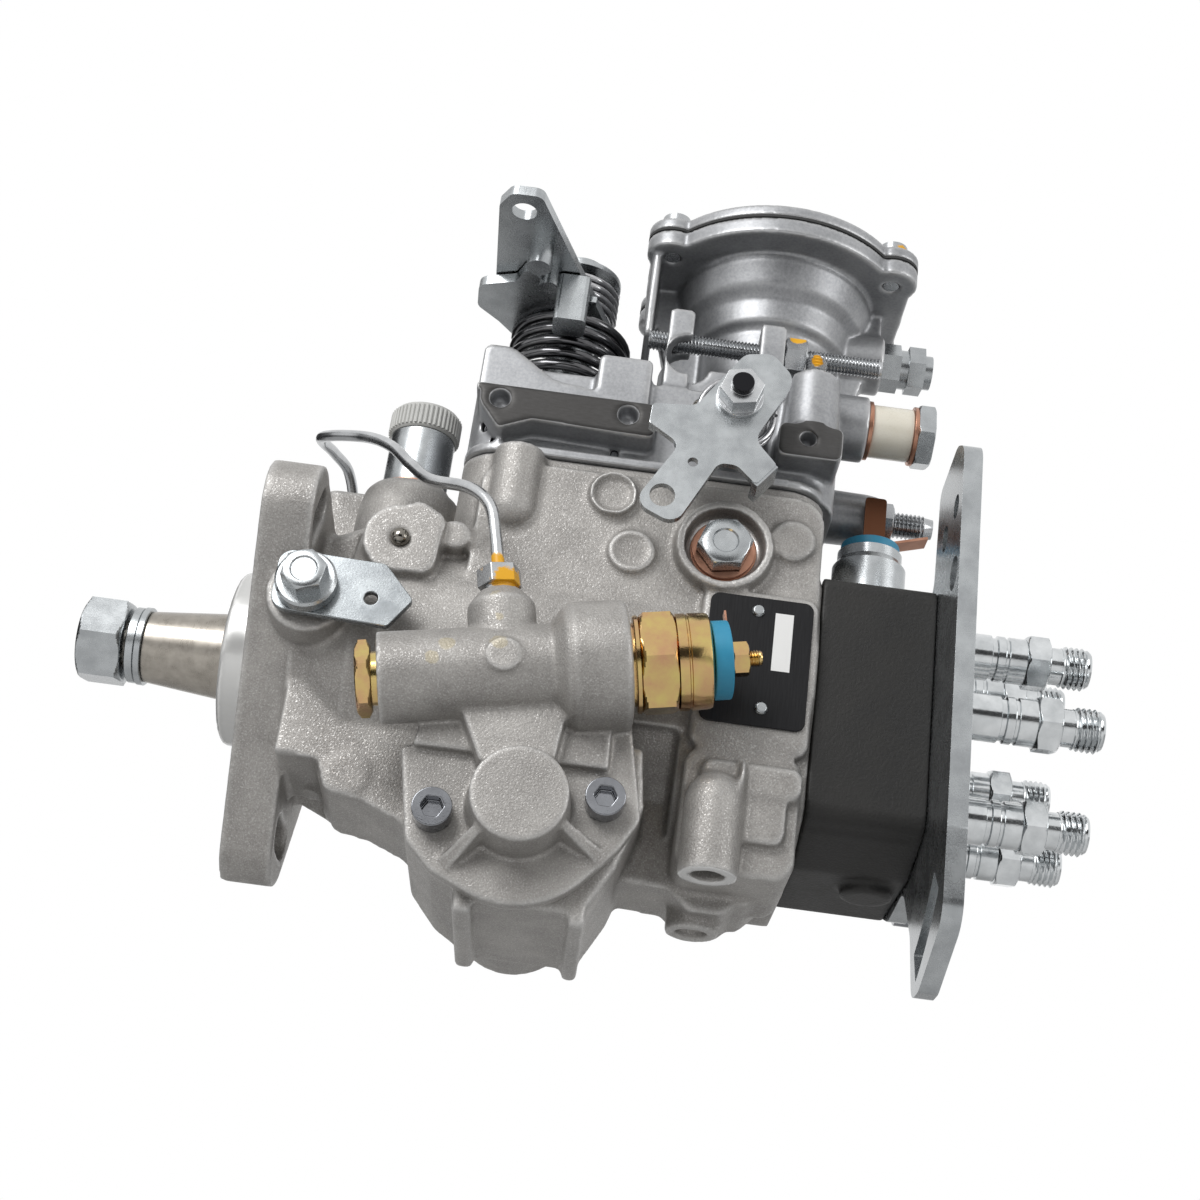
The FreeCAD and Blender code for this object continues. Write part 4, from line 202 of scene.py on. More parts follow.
class Surface(Tree):
    """A material's tree with the patterns that the finishes are made of."""

    def __init__(self, tree: bpy.types.NodeTree) -> None:
        """Starts the tree with the piece's own coordinates, in metres.

        Args:
            tree: the material's node tree.
        """
        super().__init__(tree)
        coordinates = self.node("ShaderNodeTexCoord")
        self.place = self.out(coordinates, "Object")
        split = self.node("ShaderNodeSeparateXYZ", None, {0: self.place})
        self.axes = [self.out(split, i) for i in range(3)]

    def noise(self, size_mm: float, detail: float, roughness: float, shift: float = 0.0,
            stretch: Point = (1.0, 1.0, 1.0)) -> Value:
        """Noise over the piece.

        Args:
            size_mm: about how large its features are.
            detail: how many finer layers it has.
            roughness: how strong those are.
            shift: moves the pattern, so that two don't match.
            stretch: scale along each axis; a small one draws the pattern out.

        Returns:
            The noise, about 0 to 1.
        """
        mapping = self.make("ShaderNodeMapping", None,
            {"Vector": self.place, "Location": (shift, shift, shift), "Scale": stretch})
        return self.make("ShaderNodeTexNoise", None,
            {"Vector": mapping, "Scale": 1000.0 / size_mm, "Detail": detail, "Roughness": roughness})

    def blend(self, factor: Number, first: object, second: object) -> Value:
        """Colour between two colours or links."""
        return self.make("ShaderNodeMix", {"data_type": "RGBA", "clamp_factor": True},
            {0: factor, 6: first, 7: second}, 2)

    def bump(self, height: Value, depth_mm: float) -> Value:
        """Normal from a height between 0 and 1."""
        return self.make("ShaderNodeBump", None, {"Height": height, "Distance": depth_mm * MM,
            "Strength": 1.0})

    def edges(self) -> Value:
        """0 on flat faces, rising towards 1 on outer edges of dense meshes."""
        return self.make("ShaderNodeNewGeometry", None, None, "Pointiness").rise(0.505, 0.56)

    def hollows(self) -> Value:
        """0 on flat faces, rising towards 1 in inner corners of dense meshes."""
        return 1 - self.make("ShaderNodeNewGeometry", None, None, "Pointiness").rise(0.42, 0.496)

    def distance(self, axis: Axis, centre: Tuple[float, float]) -> Value:
        """Distance from a line along an axis.

        Args:
            axis: the axis.
            centre: the line's place in millimetres, in the order of the other axes.

        Returns:
            The distance in metres.
        """
        others = [self.axes[i] for i in range(3) if i != axis.value]
        first = (others[0] - centre[0] * MM) ** 2
        second = (others[1] - centre[1] * MM) ** 2
        return (first + second) ** 0.5


@dataclass(frozen=True)
class Spot:
    """A machined ring on a casting: its axis, centre, radii and two levels, in millimetres."""

    axis: Axis
    centre: Tuple[float, float]
    outer: float
    low: float
    high: float
    inner: float = 0.0

    def mask(self, surface: Surface) -> Value:
        """1 on the ring and 0 elsewhere.

        Args:
            surface: the shader that it is drawn in.

        Returns:
            The mask.
        """
        reach = surface.distance(self.axis, self.centre)
        level = surface.axes[self.axis.value]
        soft = SOFT_MM * MM
        ring = reach.band(self.inner * MM, self.outer * MM, soft)
        return ring * level.band(self.low * MM, self.high * MM, soft)


@dataclass(frozen=True)
class Dab:
    """A dab of marking paint: its centre and reach in millimetres."""

    centre: Point
    reach: float

    def mask(self, surface: Surface) -> Value:
        """1 in the dab, with a ragged rim.

        Args:
            surface: the shader that it is drawn in.

        Returns:
            The mask.
        """
        total: Number = 0.0
        for axis, value in zip(surface.axes, self.centre):
            total = (axis - value * MM) ** 2 + total
        ragged = surface.noise(2.2, 3.0, 0.6, 4.0) * (0.9 * self.reach * MM)
        return 1 - (total ** 0.5 + ragged).rise(1.32 * self.reach * MM, 1.5 * self.reach * MM)


PAINT_ORANGE: Colour = (0.78, 0.40, 0.015, 1.0)
PAINT_SMEAR: Colour = (0.50, 0.40, 0.16, 1.0)


@dataclass(frozen=True)
class Patch:
    """A box of space, in millimetres, in which a surface has another look."""

    low: Point
    high: Point
    colour: Colour
    roughness: float = 0.38

    def mask(self, surface: Surface) -> Value:
        """1 inside the box and 0 elsewhere.

        Args:
            surface: the shader that it is drawn in.

        Returns:
            The mask.
        """
        total: Number = 1.0
        for axis, low, high in zip(surface.axes, self.low, self.high):
            total = axis.band(low * MM, high * MM, SOFT_MM * MM) * total
        return total


@dataclass(frozen=True)
class Finish:
    """A named finish; each kind of finish says what feeds the shader's sockets."""

    name: str

    def sockets(self, surface: Surface) -> Dict[str, object]:
        """Values and links of the shader's sockets, by name."""
        raise NotImplementedError

    def material(self) -> bpy.types.Material:
        """The finish's material, made once.

        Returns:
            The material.
        """
        known = bpy.data.materials.get(self.name)
        if known:
            return known
        material = bpy.data.materials.new(self.name)
        material.use_nodes = True
        material.node_tree.nodes.clear()
        surface = Surface(material.node_tree)
        shader = surface.make("ShaderNodeBsdfPrincipled", None, self.sockets(surface))
        surface.node("ShaderNodeOutputMaterial", None, {"Surface": shader})
        return material


@dataclass(frozen=True)
class CastFinish(Finish):
    """Shot-blasted or die-cast aluminium with machined spots, painted shade in its inner corners and painted
    glints on its grain.
    """

    light: Colour
    dark: Colour
    grain_depth: float
    # how strongly specks of the grain are painted as glints
    painted_glint: float
    metallic: float
    grain_mm: float = 0.55
    roughness: float = 0.50
    # share of the painted shade that darkens the inner corners
    hollow_shade: float = 0.5
    spots: Tuple[Spot, ...] = ()
    patches: Tuple[Patch, ...] = ()
    smears: Tuple[Dab, ...] = ()

    def sockets(self, surface: Surface) -> Dict[str, object]:
        """Values and links of the shader's sockets, by name.

        Args:
            surface: the shader that it is drawn in.

        Returns:
            What feeds each socket.
        """
        grain = surface.noise(self.grain_mm, 2.5, 0.6)
        cloud = surface.noise(14.0, 4.0, 0.6, 2.0)
        # Painted glints: specks of the grain are lightened almost to white, and made glossier.
        glint_mask = surface.noise(self.grain_mm * 0.7, 0.0, 0.5, 7.0).rise(0.60, 0.72)
        tone = (grain * 0.55 + cloud * 0.75 - 0.12).rise(0.25, 0.80)
        colour = surface.blend(tone, self.dark, self.light)
        # Painted shade: the colour darkens in the mesh's inner corners, where shade would fall.
        colour = surface.blend(surface.hollows() * self.hollow_shade, colour, (0.16, 0.15, 0.14, 1))
        colour = surface.blend(surface.edges() * 0.35, colour, (0.86, 0.86, 0.85, 1))
        colour = surface.blend(glint_mask * self.painted_glint, colour, (0.95, 0.95, 0.94, 1))
        gloss = glint_mask * min(0.22, 1.6 * self.painted_glint)
        rough = self.roughness + cloud * 0.12 - gloss - surface.edges() * 0.08
        height = grain
        for spot in self.spots:
            mask = spot.mask(surface)
            rings = surface.distance(spot.axis, spot.centre) * (TURN / (0.35 * MM))
            turned = surface.math("SINE", rings) * 0.5 + 0.5
            metal = surface.blend(turned, (0.58, 0.58, 0.57, 1), (0.74, 0.74, 0.73, 1))
            colour = surface.blend(mask, colour, metal)
            rough = rough * (1 - mask) + mask * 0.27
            height = height * (1 - mask) + mask * 0.5
        for patch in self.patches:
            mask = patch.mask(surface)
            lines = surface.noise(0.5, 2.0, 0.6, 0.0, (0.2, 1.0, 1.0))
            colour = surface.blend(mask * (0.9 + lines * 0.1), colour, patch.colour)
            rough = rough * (1 - mask) + mask * patch.roughness
            height = height * (1 - mask) + mask * (0.4 + lines * 0.1)
        for smear in self.smears:
            colour = surface.blend(smear.mask(surface) * 0.24, colour, PAINT_SMEAR)
        return {"Base Color": colour, "Metallic": self.metallic, "Roughness": rough,
            "Normal": surface.bump(height, self.grain_depth)}


@dataclass(frozen=True)
class PlatedFinish(Finish):
    """Bare or plated steel, with a second tint that comes and goes and with rubbed patches."""

    colour: Colour
    tint: Colour
    tint_mm: float = 7.0
    roughness: float = 0.26
    rough_spread: float = 0.20
    grain_mm: float = 0.5
    grain_depth: float = 0.015
    stretch: Point = (1.0, 1.0, 1.0)
    metallic: float = 1.0
    dabs: Tuple[Dab, ...] = ()
    patches: Tuple[Patch, ...] = ()

    def sockets(self, surface: Surface) -> Dict[str, object]:
        """Values and links of the shader's sockets, by name.

        Args:
            surface: the shader that it is drawn in.

        Returns:
            What feeds each socket.
        """
        cloud = surface.noise(self.tint_mm, 4.0, 0.6, 1.0)
        grain = surface.noise(self.grain_mm, 2.0, 0.6, 3.0, self.stretch)
        colour = surface.blend(cloud.rise(0.30, 0.72), self.tint, self.colour)
        fine = (grain - 0.5) * (self.rough_spread * 0.7)
        rough = self.roughness + (cloud - 0.5) * self.rough_spread + fine
        for patch in self.patches:
            mask = patch.mask(surface)
            colour = surface.blend(mask, colour, patch.colour)
            rough = rough * (1 - mask) + mask * patch.roughness
        sockets = {"Metallic": self.metallic, "Normal": surface.bump(grain, self.grain_depth)}
        if self.dabs:
            paint: Number = 0.0
            for dab in self.dabs:
                paint = surface.math("MAXIMUM", dab.mask(surface), paint)
            colour = surface.blend(paint, colour, PAINT_ORANGE)
            rough = rough * (1 - paint) + paint * 0.42
            sockets["Metallic"] = (1 - paint) * self.metallic
        sockets.update({"Base Color": colour, "Roughness": rough})
        return sockets


@dataclass(frozen=True)
class PlasticFinish(Finish):
    """Moulded plastic or rubber with a fine skin."""

    colour: Colour
    shade: Colour
    roughness: float = 0.45
    skin_mm: float = 0.4
    skin_depth: float = 0.02
    subsurface: float = 0.0
    coat: float = 0.0

    def sockets(self, surface: Surface) -> Dict[str, object]:
        """Values and links of the shader's sockets, by name.

        Args:
            surface: the shader that it is drawn in.

        Returns:
            What feeds each socket.
        """
        cloud = surface.noise(5.0, 3.0, 0.5, 5.0)
        skin = surface.noise(self.skin_mm, 2.0, 0.5)
        return {"Base Color": surface.blend(cloud, self.shade, self.colour),
            "Roughness": self.roughness + (skin - 0.5) * 0.25,
            "Normal": surface.bump(skin, self.skin_depth), "Subsurface Weight": self.subsurface,
            "Subsurface Radius": (0.004, 0.004, 0.004), "Coat Weight": self.coat}


@dataclass(frozen=True)
class PlateFinish(Finish):
    """The black data plate with one blank silver field."""

    field_low: Tuple[float, float] = (137.6, -2.0)
    field_high: Tuple[float, float] = (142.4, 14.5)

    def sockets(self, surface: Surface) -> Dict[str, object]:
        """Values and links of the shader's sockets, by name.

        Args:
            surface: the shader that it is drawn in.

        Returns:
            What feeds each socket.
        """
        brushed = surface.noise(0.4, 2.0, 0.6, 0.0, (1.0, 1.0, 0.06))
        across = surface.axes[0].band(self.field_low[0] * MM, self.field_high[0] * MM, SHARP_MM * MM)
        upwards = surface.axes[2].band(self.field_low[1] * MM, self.field_high[1] * MM, SHARP_MM * MM)
        silver = across * upwards
        dark = surface.blend(brushed, (0.012, 0.012, 0.013, 1), (0.030, 0.030, 0.032, 1))
        return {"Base Color": surface.blend(silver, dark, (0.74, 0.74, 0.73, 1)), "Metallic": silver * 0.8,
            "Roughness": brushed * 0.2 + 0.25, "Normal": surface.bump(brushed, 0.01),
            "Specular IOR Level": 0.12}


FACE = 0.25                 # depth of a machined face's mark, in millimetres
NEAR_FACE = -44.0           # level of the near faces of both castings
HOUSING_CAST = CastFinish("blasted_cast_aluminium", light=(0.44, 0.425, 0.405, 1),
    dark=(0.20, 0.19, 0.18, 1), grain_depth=0.16, painted_glint=0.14, metallic=0.5,
    spots=(Spot(Axis.Y, (122.3, 32.5), 10.6, -40.9, -40.0, 4.0),
    Spot(Axis.X, (0.0, 0.0), 25.4, -9.0, -1.0, 19.0), Spot(Axis.Z, (32.3, 0.0), 12.4, 57.6, 58.3),
    Spot(Axis.Z, (126.4, -47.0), 7.4, -60.9, -60.2, 4.0)),
    smears=(Dab((52.9, -71.5, -22.3), 1.8), Dab((55.6, -71.5, -17.6), 2.2), Dab((65.9, -66.0, -2.3), 2.4),
    Dab((68.4, -71.0, -16.0), 2.4), Dab((67.0, -70.0, -8.0), 1.8)))
COVER_CAST = CastFinish("die_cast_aluminium", light=(0.40, 0.405, 0.415, 1), dark=(0.21, 0.215, 0.225, 1),
    grain_mm=0.9, grain_depth=0.018, roughness=0.36, painted_glint=0.0, metallic=0.65, hollow_shade=0.0,
    patches=(Patch((50.0, NEAR_FACE - FACE, 60.0), (101.0, NEAR_FACE + FACE, 74.5),
    (0.035, 0.033, 0.031, 1), 0.5), Patch((133.0, NEAR_FACE - FACE, 62.0), (153.0, NEAR_FACE + FACE, 75.0),
    (0.05, 0.048, 0.046, 1), 0.5)))
FINISHES = {
    "cast_housing": HOUSING_CAST,
    "die_cast": COVER_CAST,
    "head_black": PlatedFinish("black_phosphate", colour=(0.021, 0.020, 0.0185, 1),
        tint=(0.013, 0.0125, 0.012, 1), tint_mm=12.0, roughness=0.55, rough_spread=0.25, grain_mm=0.7,
        grain_depth=0.12, metallic=0.2),
    "zinc_steel": PlatedFinish("bright_zinc", colour=(0.47, 0.49, 0.50, 1), tint=(0.33, 0.345, 0.355, 1),
        roughness=0.27, rough_spread=0.12),
    "dark_steel": PlatedFinish("oiled_steel", colour=(0.16, 0.16, 0.17, 1), tint=(0.09, 0.09, 0.09, 1),
        roughness=0.35),
    "gold_chromate": PlatedFinish("yellow_chromate", colour=(0.60, 0.50, 0.17, 1),
        tint=(0.52, 0.27, 0.17, 1), tint_mm=9.0, roughness=0.17, rough_spread=0.10),
    "copper": PlatedFinish("bare_copper", colour=(0.55, 0.30, 0.21, 1), tint=(0.36, 0.18, 0.12, 1),
        roughness=0.34, patches=(Patch((160.0, -6.5, 61.0), (172.0, -2.0, 80.0),
        (0.115, 0.050, 0.028, 1)),)),
    "blue_plastic": PlasticFinish("blue_insulator", colour=(0.035, 0.30, 0.47, 1),
        shade=(0.02, 0.22, 0.38, 1)),
    "white_plastic": PlasticFinish("milky_sleeve", colour=(0.80, 0.77, 0.68, 1),
        shade=(0.66, 0.62, 0.52, 1), roughness=0.30, subsurface=0.35, coat=0.2),
    "cap_plastic": PlasticFinish("grey_cap", colour=(0.58, 0.58, 0.56, 1), shade=(0.47, 0.47, 0.45, 1)),
    "plate_black": PlateFinish("data_plate"),
    "seal_rubber": PlasticFinish("seal_rubber", colour=(0.035, 0.035, 0.036, 1),
        shade=(0.02, 0.02, 0.02, 1), roughness=0.6),
    "bearing_bronze": PlatedFinish("bearing_bronze", colour=(0.55, 0.40, 0.22, 1),
        tint=(0.42, 0.29, 0.15, 1), roughness=0.4),
    "ground_steel": PlatedFinish("ground_steel", colour=(0.55, 0.55, 0.55, 1), tint=(0.42, 0.42, 0.42, 1),
        roughness=0.22, stretch=(1.0, 0.08, 0.08)),
}
BLACK_SPRING = PlatedFinish("black_spring_wire", colour=(0.17, 0.17, 0.175, 1), tint=(0.09, 0.09, 0.095, 1),
    roughness=0.16, rough_spread=0.05)
SCREW_CHROME = PlatedFinish("chromed_screws", colour=(0.30, 0.31, 0.33, 1), tint=(0.20, 0.205, 0.22, 1),
    roughness=0.10, rough_spread=0.06)
OUTLET_ZINC = PlatedFinish("outlet_zinc", colour=(0.74, 0.76, 0.77, 1), tint=(0.50, 0.52, 0.53, 1),
    roughness=0.16, rough_spread=0.08)
# Painted shade: a darker copy of the zinc, used on the lifting bracket.
LIFT_ZINC = PlatedFinish("shaded_zinc", colour=(0.33, 0.35, 0.36, 1), tint=(0.22, 0.235, 0.245, 1),
    roughness=0.27, rough_spread=0.14)
SPRING_WIRE = PlatedFinish("bright_spring_wire", colour=(0.55, 0.55, 0.56, 1), tint=(0.36, 0.36, 0.37, 1),
    roughness=0.20)
SHAFT_STEEL = PlatedFinish("turned_shaft_steel", colour=(0.40, 0.37, 0.33, 1), tint=(0.27, 0.25, 0.22, 1),
    tint_mm=4.0, roughness=0.30, grain_mm=0.35, stretch=(1.0, 0.05, 0.05), grain_depth=0.02)
TUBE_ZINC = PlatedFinish("zinc_tube", colour=(0.60, 0.61, 0.62, 1), tint=(0.42, 0.43, 0.44, 1),
    roughness=0.24, dabs=(Dab((64.2, -60.0, 9.0), 4.2), Dab((67.5, -62.0, 4.5), 4.6)))
ROD_ZINC = PlatedFinish("zinc_screws", colour=(0.50, 0.51, 0.52, 1), tint=(0.32, 0.33, 0.34, 1),
    dabs=(Dab((138.0, -31.0, 110.5), 2.6), Dab((143.5, -39.0, 98.5), 2.0), Dab((168.0, -22.5, 151.5), 2.6)))
PLUG_BALL = PlatedFinish("plug_ball_steel", colour=(0.30, 0.28, 0.25, 1), tint=(0.16, 0.15, 0.13, 1),
    tint_mm=2.0, roughness=0.12, rough_spread=0.05)
STOP_STEEL = PlatedFinish("stop_shaft_steel", colour=(0.60, 0.61, 0.62, 1), tint=(0.42, 0.43, 0.44, 1),
    patches=(Patch((116.0, -67.5, 65.0), (127.0, -64.5, 76.0), (0.02, 0.02, 0.022, 1), 0.25),))

CARD_FINISH = PlasticFinish("dark_card", colour=(0.03, 0.03, 0.032, 1), shade=(0.03, 0.03, 0.032, 1),
    roughness=0.9)
FLOOR_FINISH = PlasticFinish("pale_floor", colour=(0.93, 0.93, 0.93, 1), shade=(0.92, 0.92, 0.92, 1),
    roughness=0.9, skin_depth=0.001)


def link(name: str, mesh: bpy.types.Mesh) -> bpy.types.Object:
    """A new object in the scene, at the origin.

    Args:
        name: the object's name.
        mesh: its mesh.

    Returns:
        The object.
    """
    made = bpy.data.objects.new(name, mesh)
    bpy.context.scene.collection.objects.link(made)
    return made


def settle(made: bpy.types.Object) -> bpy.types.Object:
    """Turns an object's modifiers into its mesh.

    Args:
        made: the object.

    Returns:
        The same object.
    """
    graph = bpy.context.evaluated_depsgraph_get()
    mesh = bpy.data.meshes.new_from_object(made.evaluated_get(graph))
    made.modifiers.clear()
    made.data = mesh
    return made


def smooth(mesh: bpy.types.Mesh, angle_deg: float) -> None:
    """Smooth shading, with edges sharper than an angle kept."""
    mesh.polygons.foreach_set("use_smooth", [True] * len(mesh.polygons))
    mesh.set_sharp_from_angle(angle=math.radians(angle_deg))


def ease(piece: bpy.types.Object, width_mm: float, miter: str) -> None:
    """Eases a piece's sharp edges, with flat faces that still shade flat.

    Args:
        piece: the piece.
        width_mm: the width of the eased edges.
        miter: Blender's name for how the eased edges meet.
    """
    bevel = piece.modifiers.new("ease", "BEVEL")
    bevel.width = width_mm * MM
    bevel.segments = 2
    bevel.limit_method = "ANGLE"
    bevel.angle_limit = math.radians(EASED_DEG)
    bevel.miter_outer = miter
    settle(piece)
    smooth(piece.data, SHEET_DEG)
    piece.modifiers.new("even", "WEIGHTED_NORMAL").keep_sharp = True
    settle(piece)


def as_mesh(work: bmesh.types.BMesh, name: str) -> bpy.types.Mesh:
    """Turns a working mesh into a plain one and frees it.

    Args:
        work: the working mesh.
        name: the plain mesh's name.

    Returns:
        The plain mesh.
    """
    mesh = bpy.data.meshes.new(name)
    work.to_mesh(mesh)
    work.free()
    return mesh


def merged_copy(node: str, name: str, flat: bool) -> bpy.types.Object:
    """A copy of a CAD node with its doubles merged.

    Args:
        node: the CAD node.
        name: the new piece's name.
        flat: whether triangles in one plane become one face.

    Returns:
        The new object.
    """
    work = bmesh.new()
    work.from_mesh(frame["nodes"][node].data)
    bmesh.ops.remove_doubles(work, verts=work.verts, dist=MERGE)
    if flat:
        bmesh.ops.dissolve_limit(work, angle_limit=math.radians(FLAT_DEG), verts=work.verts,
            edges=work.edges)
    return link(name, as_mesh(work, name))


def dress(piece: bpy.types.Object, node: str, finish: Finish, replaces: bool = True) -> bpy.types.Object:
    """Gives a piece its finish and body, and hides the CAD node that it stands for.

    Args:
        piece: the new piece.
        node: the CAD node that it stands for or belongs to.
        finish: its finish.
        replaces: whether the CAD node is hidden.

    Returns:
        The piece.
    """
    piece.data.materials.clear()
    piece.data.materials.append(finish.material())
    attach(piece, frame["nodes"][node]["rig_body"])
    slot_of(node)
    if replaces:
        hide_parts(node)
    log.info("%s: %d faces, %s", piece.name, len(piece.data.polygons), finish.name)
    return piece


def slot_of(node: str) -> str:
    """The record's material slot of a CAD node.

    Args:
        node: the node's name.

    Returns:
        The slot's name.
    """
    for row in frame["record"]["subparts"]:
        if row["node"] == node:
            return row["material_slot"]
    raise KeyError(node)


def eased(node: str, width_mm: float, finish: Optional[Finish] = None) -> bpy.types.Object:
    """Replaces a CAD node by a copy whose sharp edges are eased.

    Args:
        node: the CAD node.
        width_mm: the width of the eased edges.
        finish: another finish than the slot's own.

    Returns:
        The new piece.
    """
    piece = merged_copy(node, node + "_eased", True)
    ease(piece, width_mm, "MITER_ARC")
    return dress(piece, node, finish or FINISHES[slot_of(node)])


def rounded(corners: Sequence[Point]) -> List[Tuple[float, float]]:
    """An outline with its corners rounded.

    Args:
        corners: two coordinates and a radius for each corner, in millimetres.

    Returns:
        The outline's points.
    """
    points = []
    for i, (a, b, radius) in enumerate(corners):
        corner = Vector((a, b))
        before = Vector(corners[i - 1][:2]) - corner
        after = Vector(corners[(i + 1) % len(corners)][:2]) - corner
        half = before.angle(after) / 2
        if radius < 0.01 or half > 1.55:
            points.append((a, b))
            continue
        reach = min(radius / math.tan(half), 0.48 * before.length, 0.48 * after.length)
        start, end = corner + before.normalized() * reach, corner + after.normalized() * reach
        middle = corner + (before.normalized() + after.normalized()).normalized() * (reach / math.cos(half))
        for k in range(ARC_STEPS + 1):
            away = (start - middle).lerp(end - middle, k / ARC_STEPS).normalized() * (start - middle).length
            points.append(tuple(middle + away))
    return points


def on_axis(axis: Axis, a: float, b: float, level: float) -> Vector:
    """A place from two coordinates across an axis and one along it."""
    return {Axis.X: Vector((level, a, b)), Axis.Y: Vector((a, level, b)),
        Axis.Z: Vector((a, b, level))}[axis]


def skinned(name: str, rows: Sequence[Sequence[Vector]], capped: bool) -> bpy.types.Mesh:
    """A closed mesh with faces between neighbouring rows, outward and with its doubles merged.

    Args:
        name: the mesh's name.
        rows: rows of places in millimetres, as many in each.
        capped: whether the end rows are filled; rows that shrink to a point need no cap.

    Returns:
        The mesh, in metres.
    """
    work = bmesh.new()
    corners = [[work.verts.new(place * MM) for place in row] for row in rows]
    count = len(corners[0])
    for one, two in zip(corners, corners[1:]):
        for i in range(count):
            k = (i + 1) % count
            work.faces.new((one[i], one[k], two[k], two[i]))
    if capped:
        work.faces.new(corners[0])
        work.faces.new(corners[-1])
    bmesh.ops.remove_doubles(work, verts=work.verts, dist=MERGE)
    bmesh.ops.recalc_face_normals(work, faces=work.faces)
    return as_mesh(work, name)


@dataclass(frozen=True)
class Solid:
    """A closed form between rings of points across an axis. Millimetres."""

    axis: Axis
    rings: Tuple[Tuple[float, Tuple[Tuple[float, float], ...]], ...]

    def mesh(self, name: str) -> bpy.types.Mesh:
        """The form as a mesh in metres, its faces outward."""
        rows = [[on_axis(self.axis, a, b, level) for a, b in ring] for level, ring in self.rings]
        return skinned(name, rows, True)


def prism(axis: Axis, low: float, high: float, *corners: Point) -> Solid:
    """A prism between two levels with rounded corners."""
    outline = tuple(rounded(corners))
    return Solid(axis, ((low, outline), (high, outline)))


def block(axis: Axis, low: float, high: float, first: Tuple[float, float], last: Tuple[float, float],
        radius: float = 0.0) -> Solid:
    """A block between two levels with rounded upright edges."""
    (a0, b0), (a1, b1) = first, last
    return prism(axis, low, high, (a0, b0, radius), (a1, b0, radius), (a1, b1, radius), (a0, b1, radius))


def turned(axis: Axis, a: float, b: float, *levels: Tuple[float, float]) -> Solid:
    """A turned form about a line along an axis.

    Args:
        axis: the axis.
        a: the line's place across it, in millimetres.
        b: its other coordinate.
        levels: pairs of a level along the axis and the radius there.

    Returns:
        The form.
    """
    angles = [TURN * i / TURNED_SIDES for i in range(TURNED_SIDES)]
    rings = []
    for level, radius in levels:
        rings.append((level, tuple((a + radius * math.cos(t), b + radius * math.sin(t)) for t in angles)))
    return Solid(axis, tuple(rings))


class Change(Enum):
    """What a solid does to the form that it meets."""

    ADD = "UNION"
    CUT = "DIFFERENCE"


Changes = Tuple[Tuple[Change, Solid], ...]


def changed(piece: bpy.types.Object, changes: Changes) -> bpy.types.Object:
    """Adds solids to a piece or cuts them from it, in their order.

    Args:
        piece: the piece.
        changes: what is done and the solid for it, in their order.

    Returns:
        The piece.
    """
    tools = []
    for change, solid in changes:
        tool = link("tool", solid.mesh("tool"))
        modifier = piece.modifiers.new("change", "BOOLEAN")
        modifier.operation = change.value
        modifier.solver = "MANIFOLD"
        modifier.object = tool
        tools.append(tool)
    if tools:
        settle(piece)
    for tool in tools:
        mesh = tool.data
        bpy.data.objects.remove(tool)
        bpy.data.meshes.remove(mesh)
    return piece


@dataclass
class Casting:
    """A casting: the CAD node's form with the soft edges and fillets of the foundry."""

    node: str
    voxel_mm: float
    passes: int
    triangles: int = 190000
    changes: Changes = ()

    def build(self) -> bpy.types.Object:
        """Makes the casting and hides its CAD node.

        Returns:
            The dressed piece.
        """
        piece = changed(merged_copy(self.node, self.node + "_cast", False), self.changes)
        remesh = piece.modifiers.new("skin", "REMESH")
        remesh.mode = "VOXEL"
        remesh.voxel_size = (self.voxel_mm * 1.0) * MM
        soften = piece.modifiers.new("soften", "SMOOTH")
        soften.factor = 0.5
        soften.iterations = self.passes
        settle(piece)
        piece.data.calc_loop_triangles()
        count = len(piece.data.loop_triangles)
        if count > self.triangles:
            thin = piece.modifiers.new("thin", "DECIMATE")
            thin.ratio = self.triangles / count
            settle(piece)
        piece.data.polygons.foreach_set("use_smooth", [True] * len(piece.data.polygons))
        return dress(piece, self.node, FINISHES[slot_of(self.node)])


@dataclass
class Sheet:
    """A piece cut from plate: a first solid, what is added or cut, and eased edges. Millimetres."""

    node: str
    plate: Solid
    changes: Changes = ()
    edge: float = 0.4

    def build(self) -> bpy.types.Object:
        """Makes the piece and hides its CAD node.

        Returns:
            The dressed piece.
        """
        name = self.node + "_cut"
        piece = changed(link(name, self.plate.mesh(name)), self.changes)
        ease(piece, self.edge, "MITER_SHARP")
        return dress(piece, self.node, FINISHES[slot_of(self.node)])


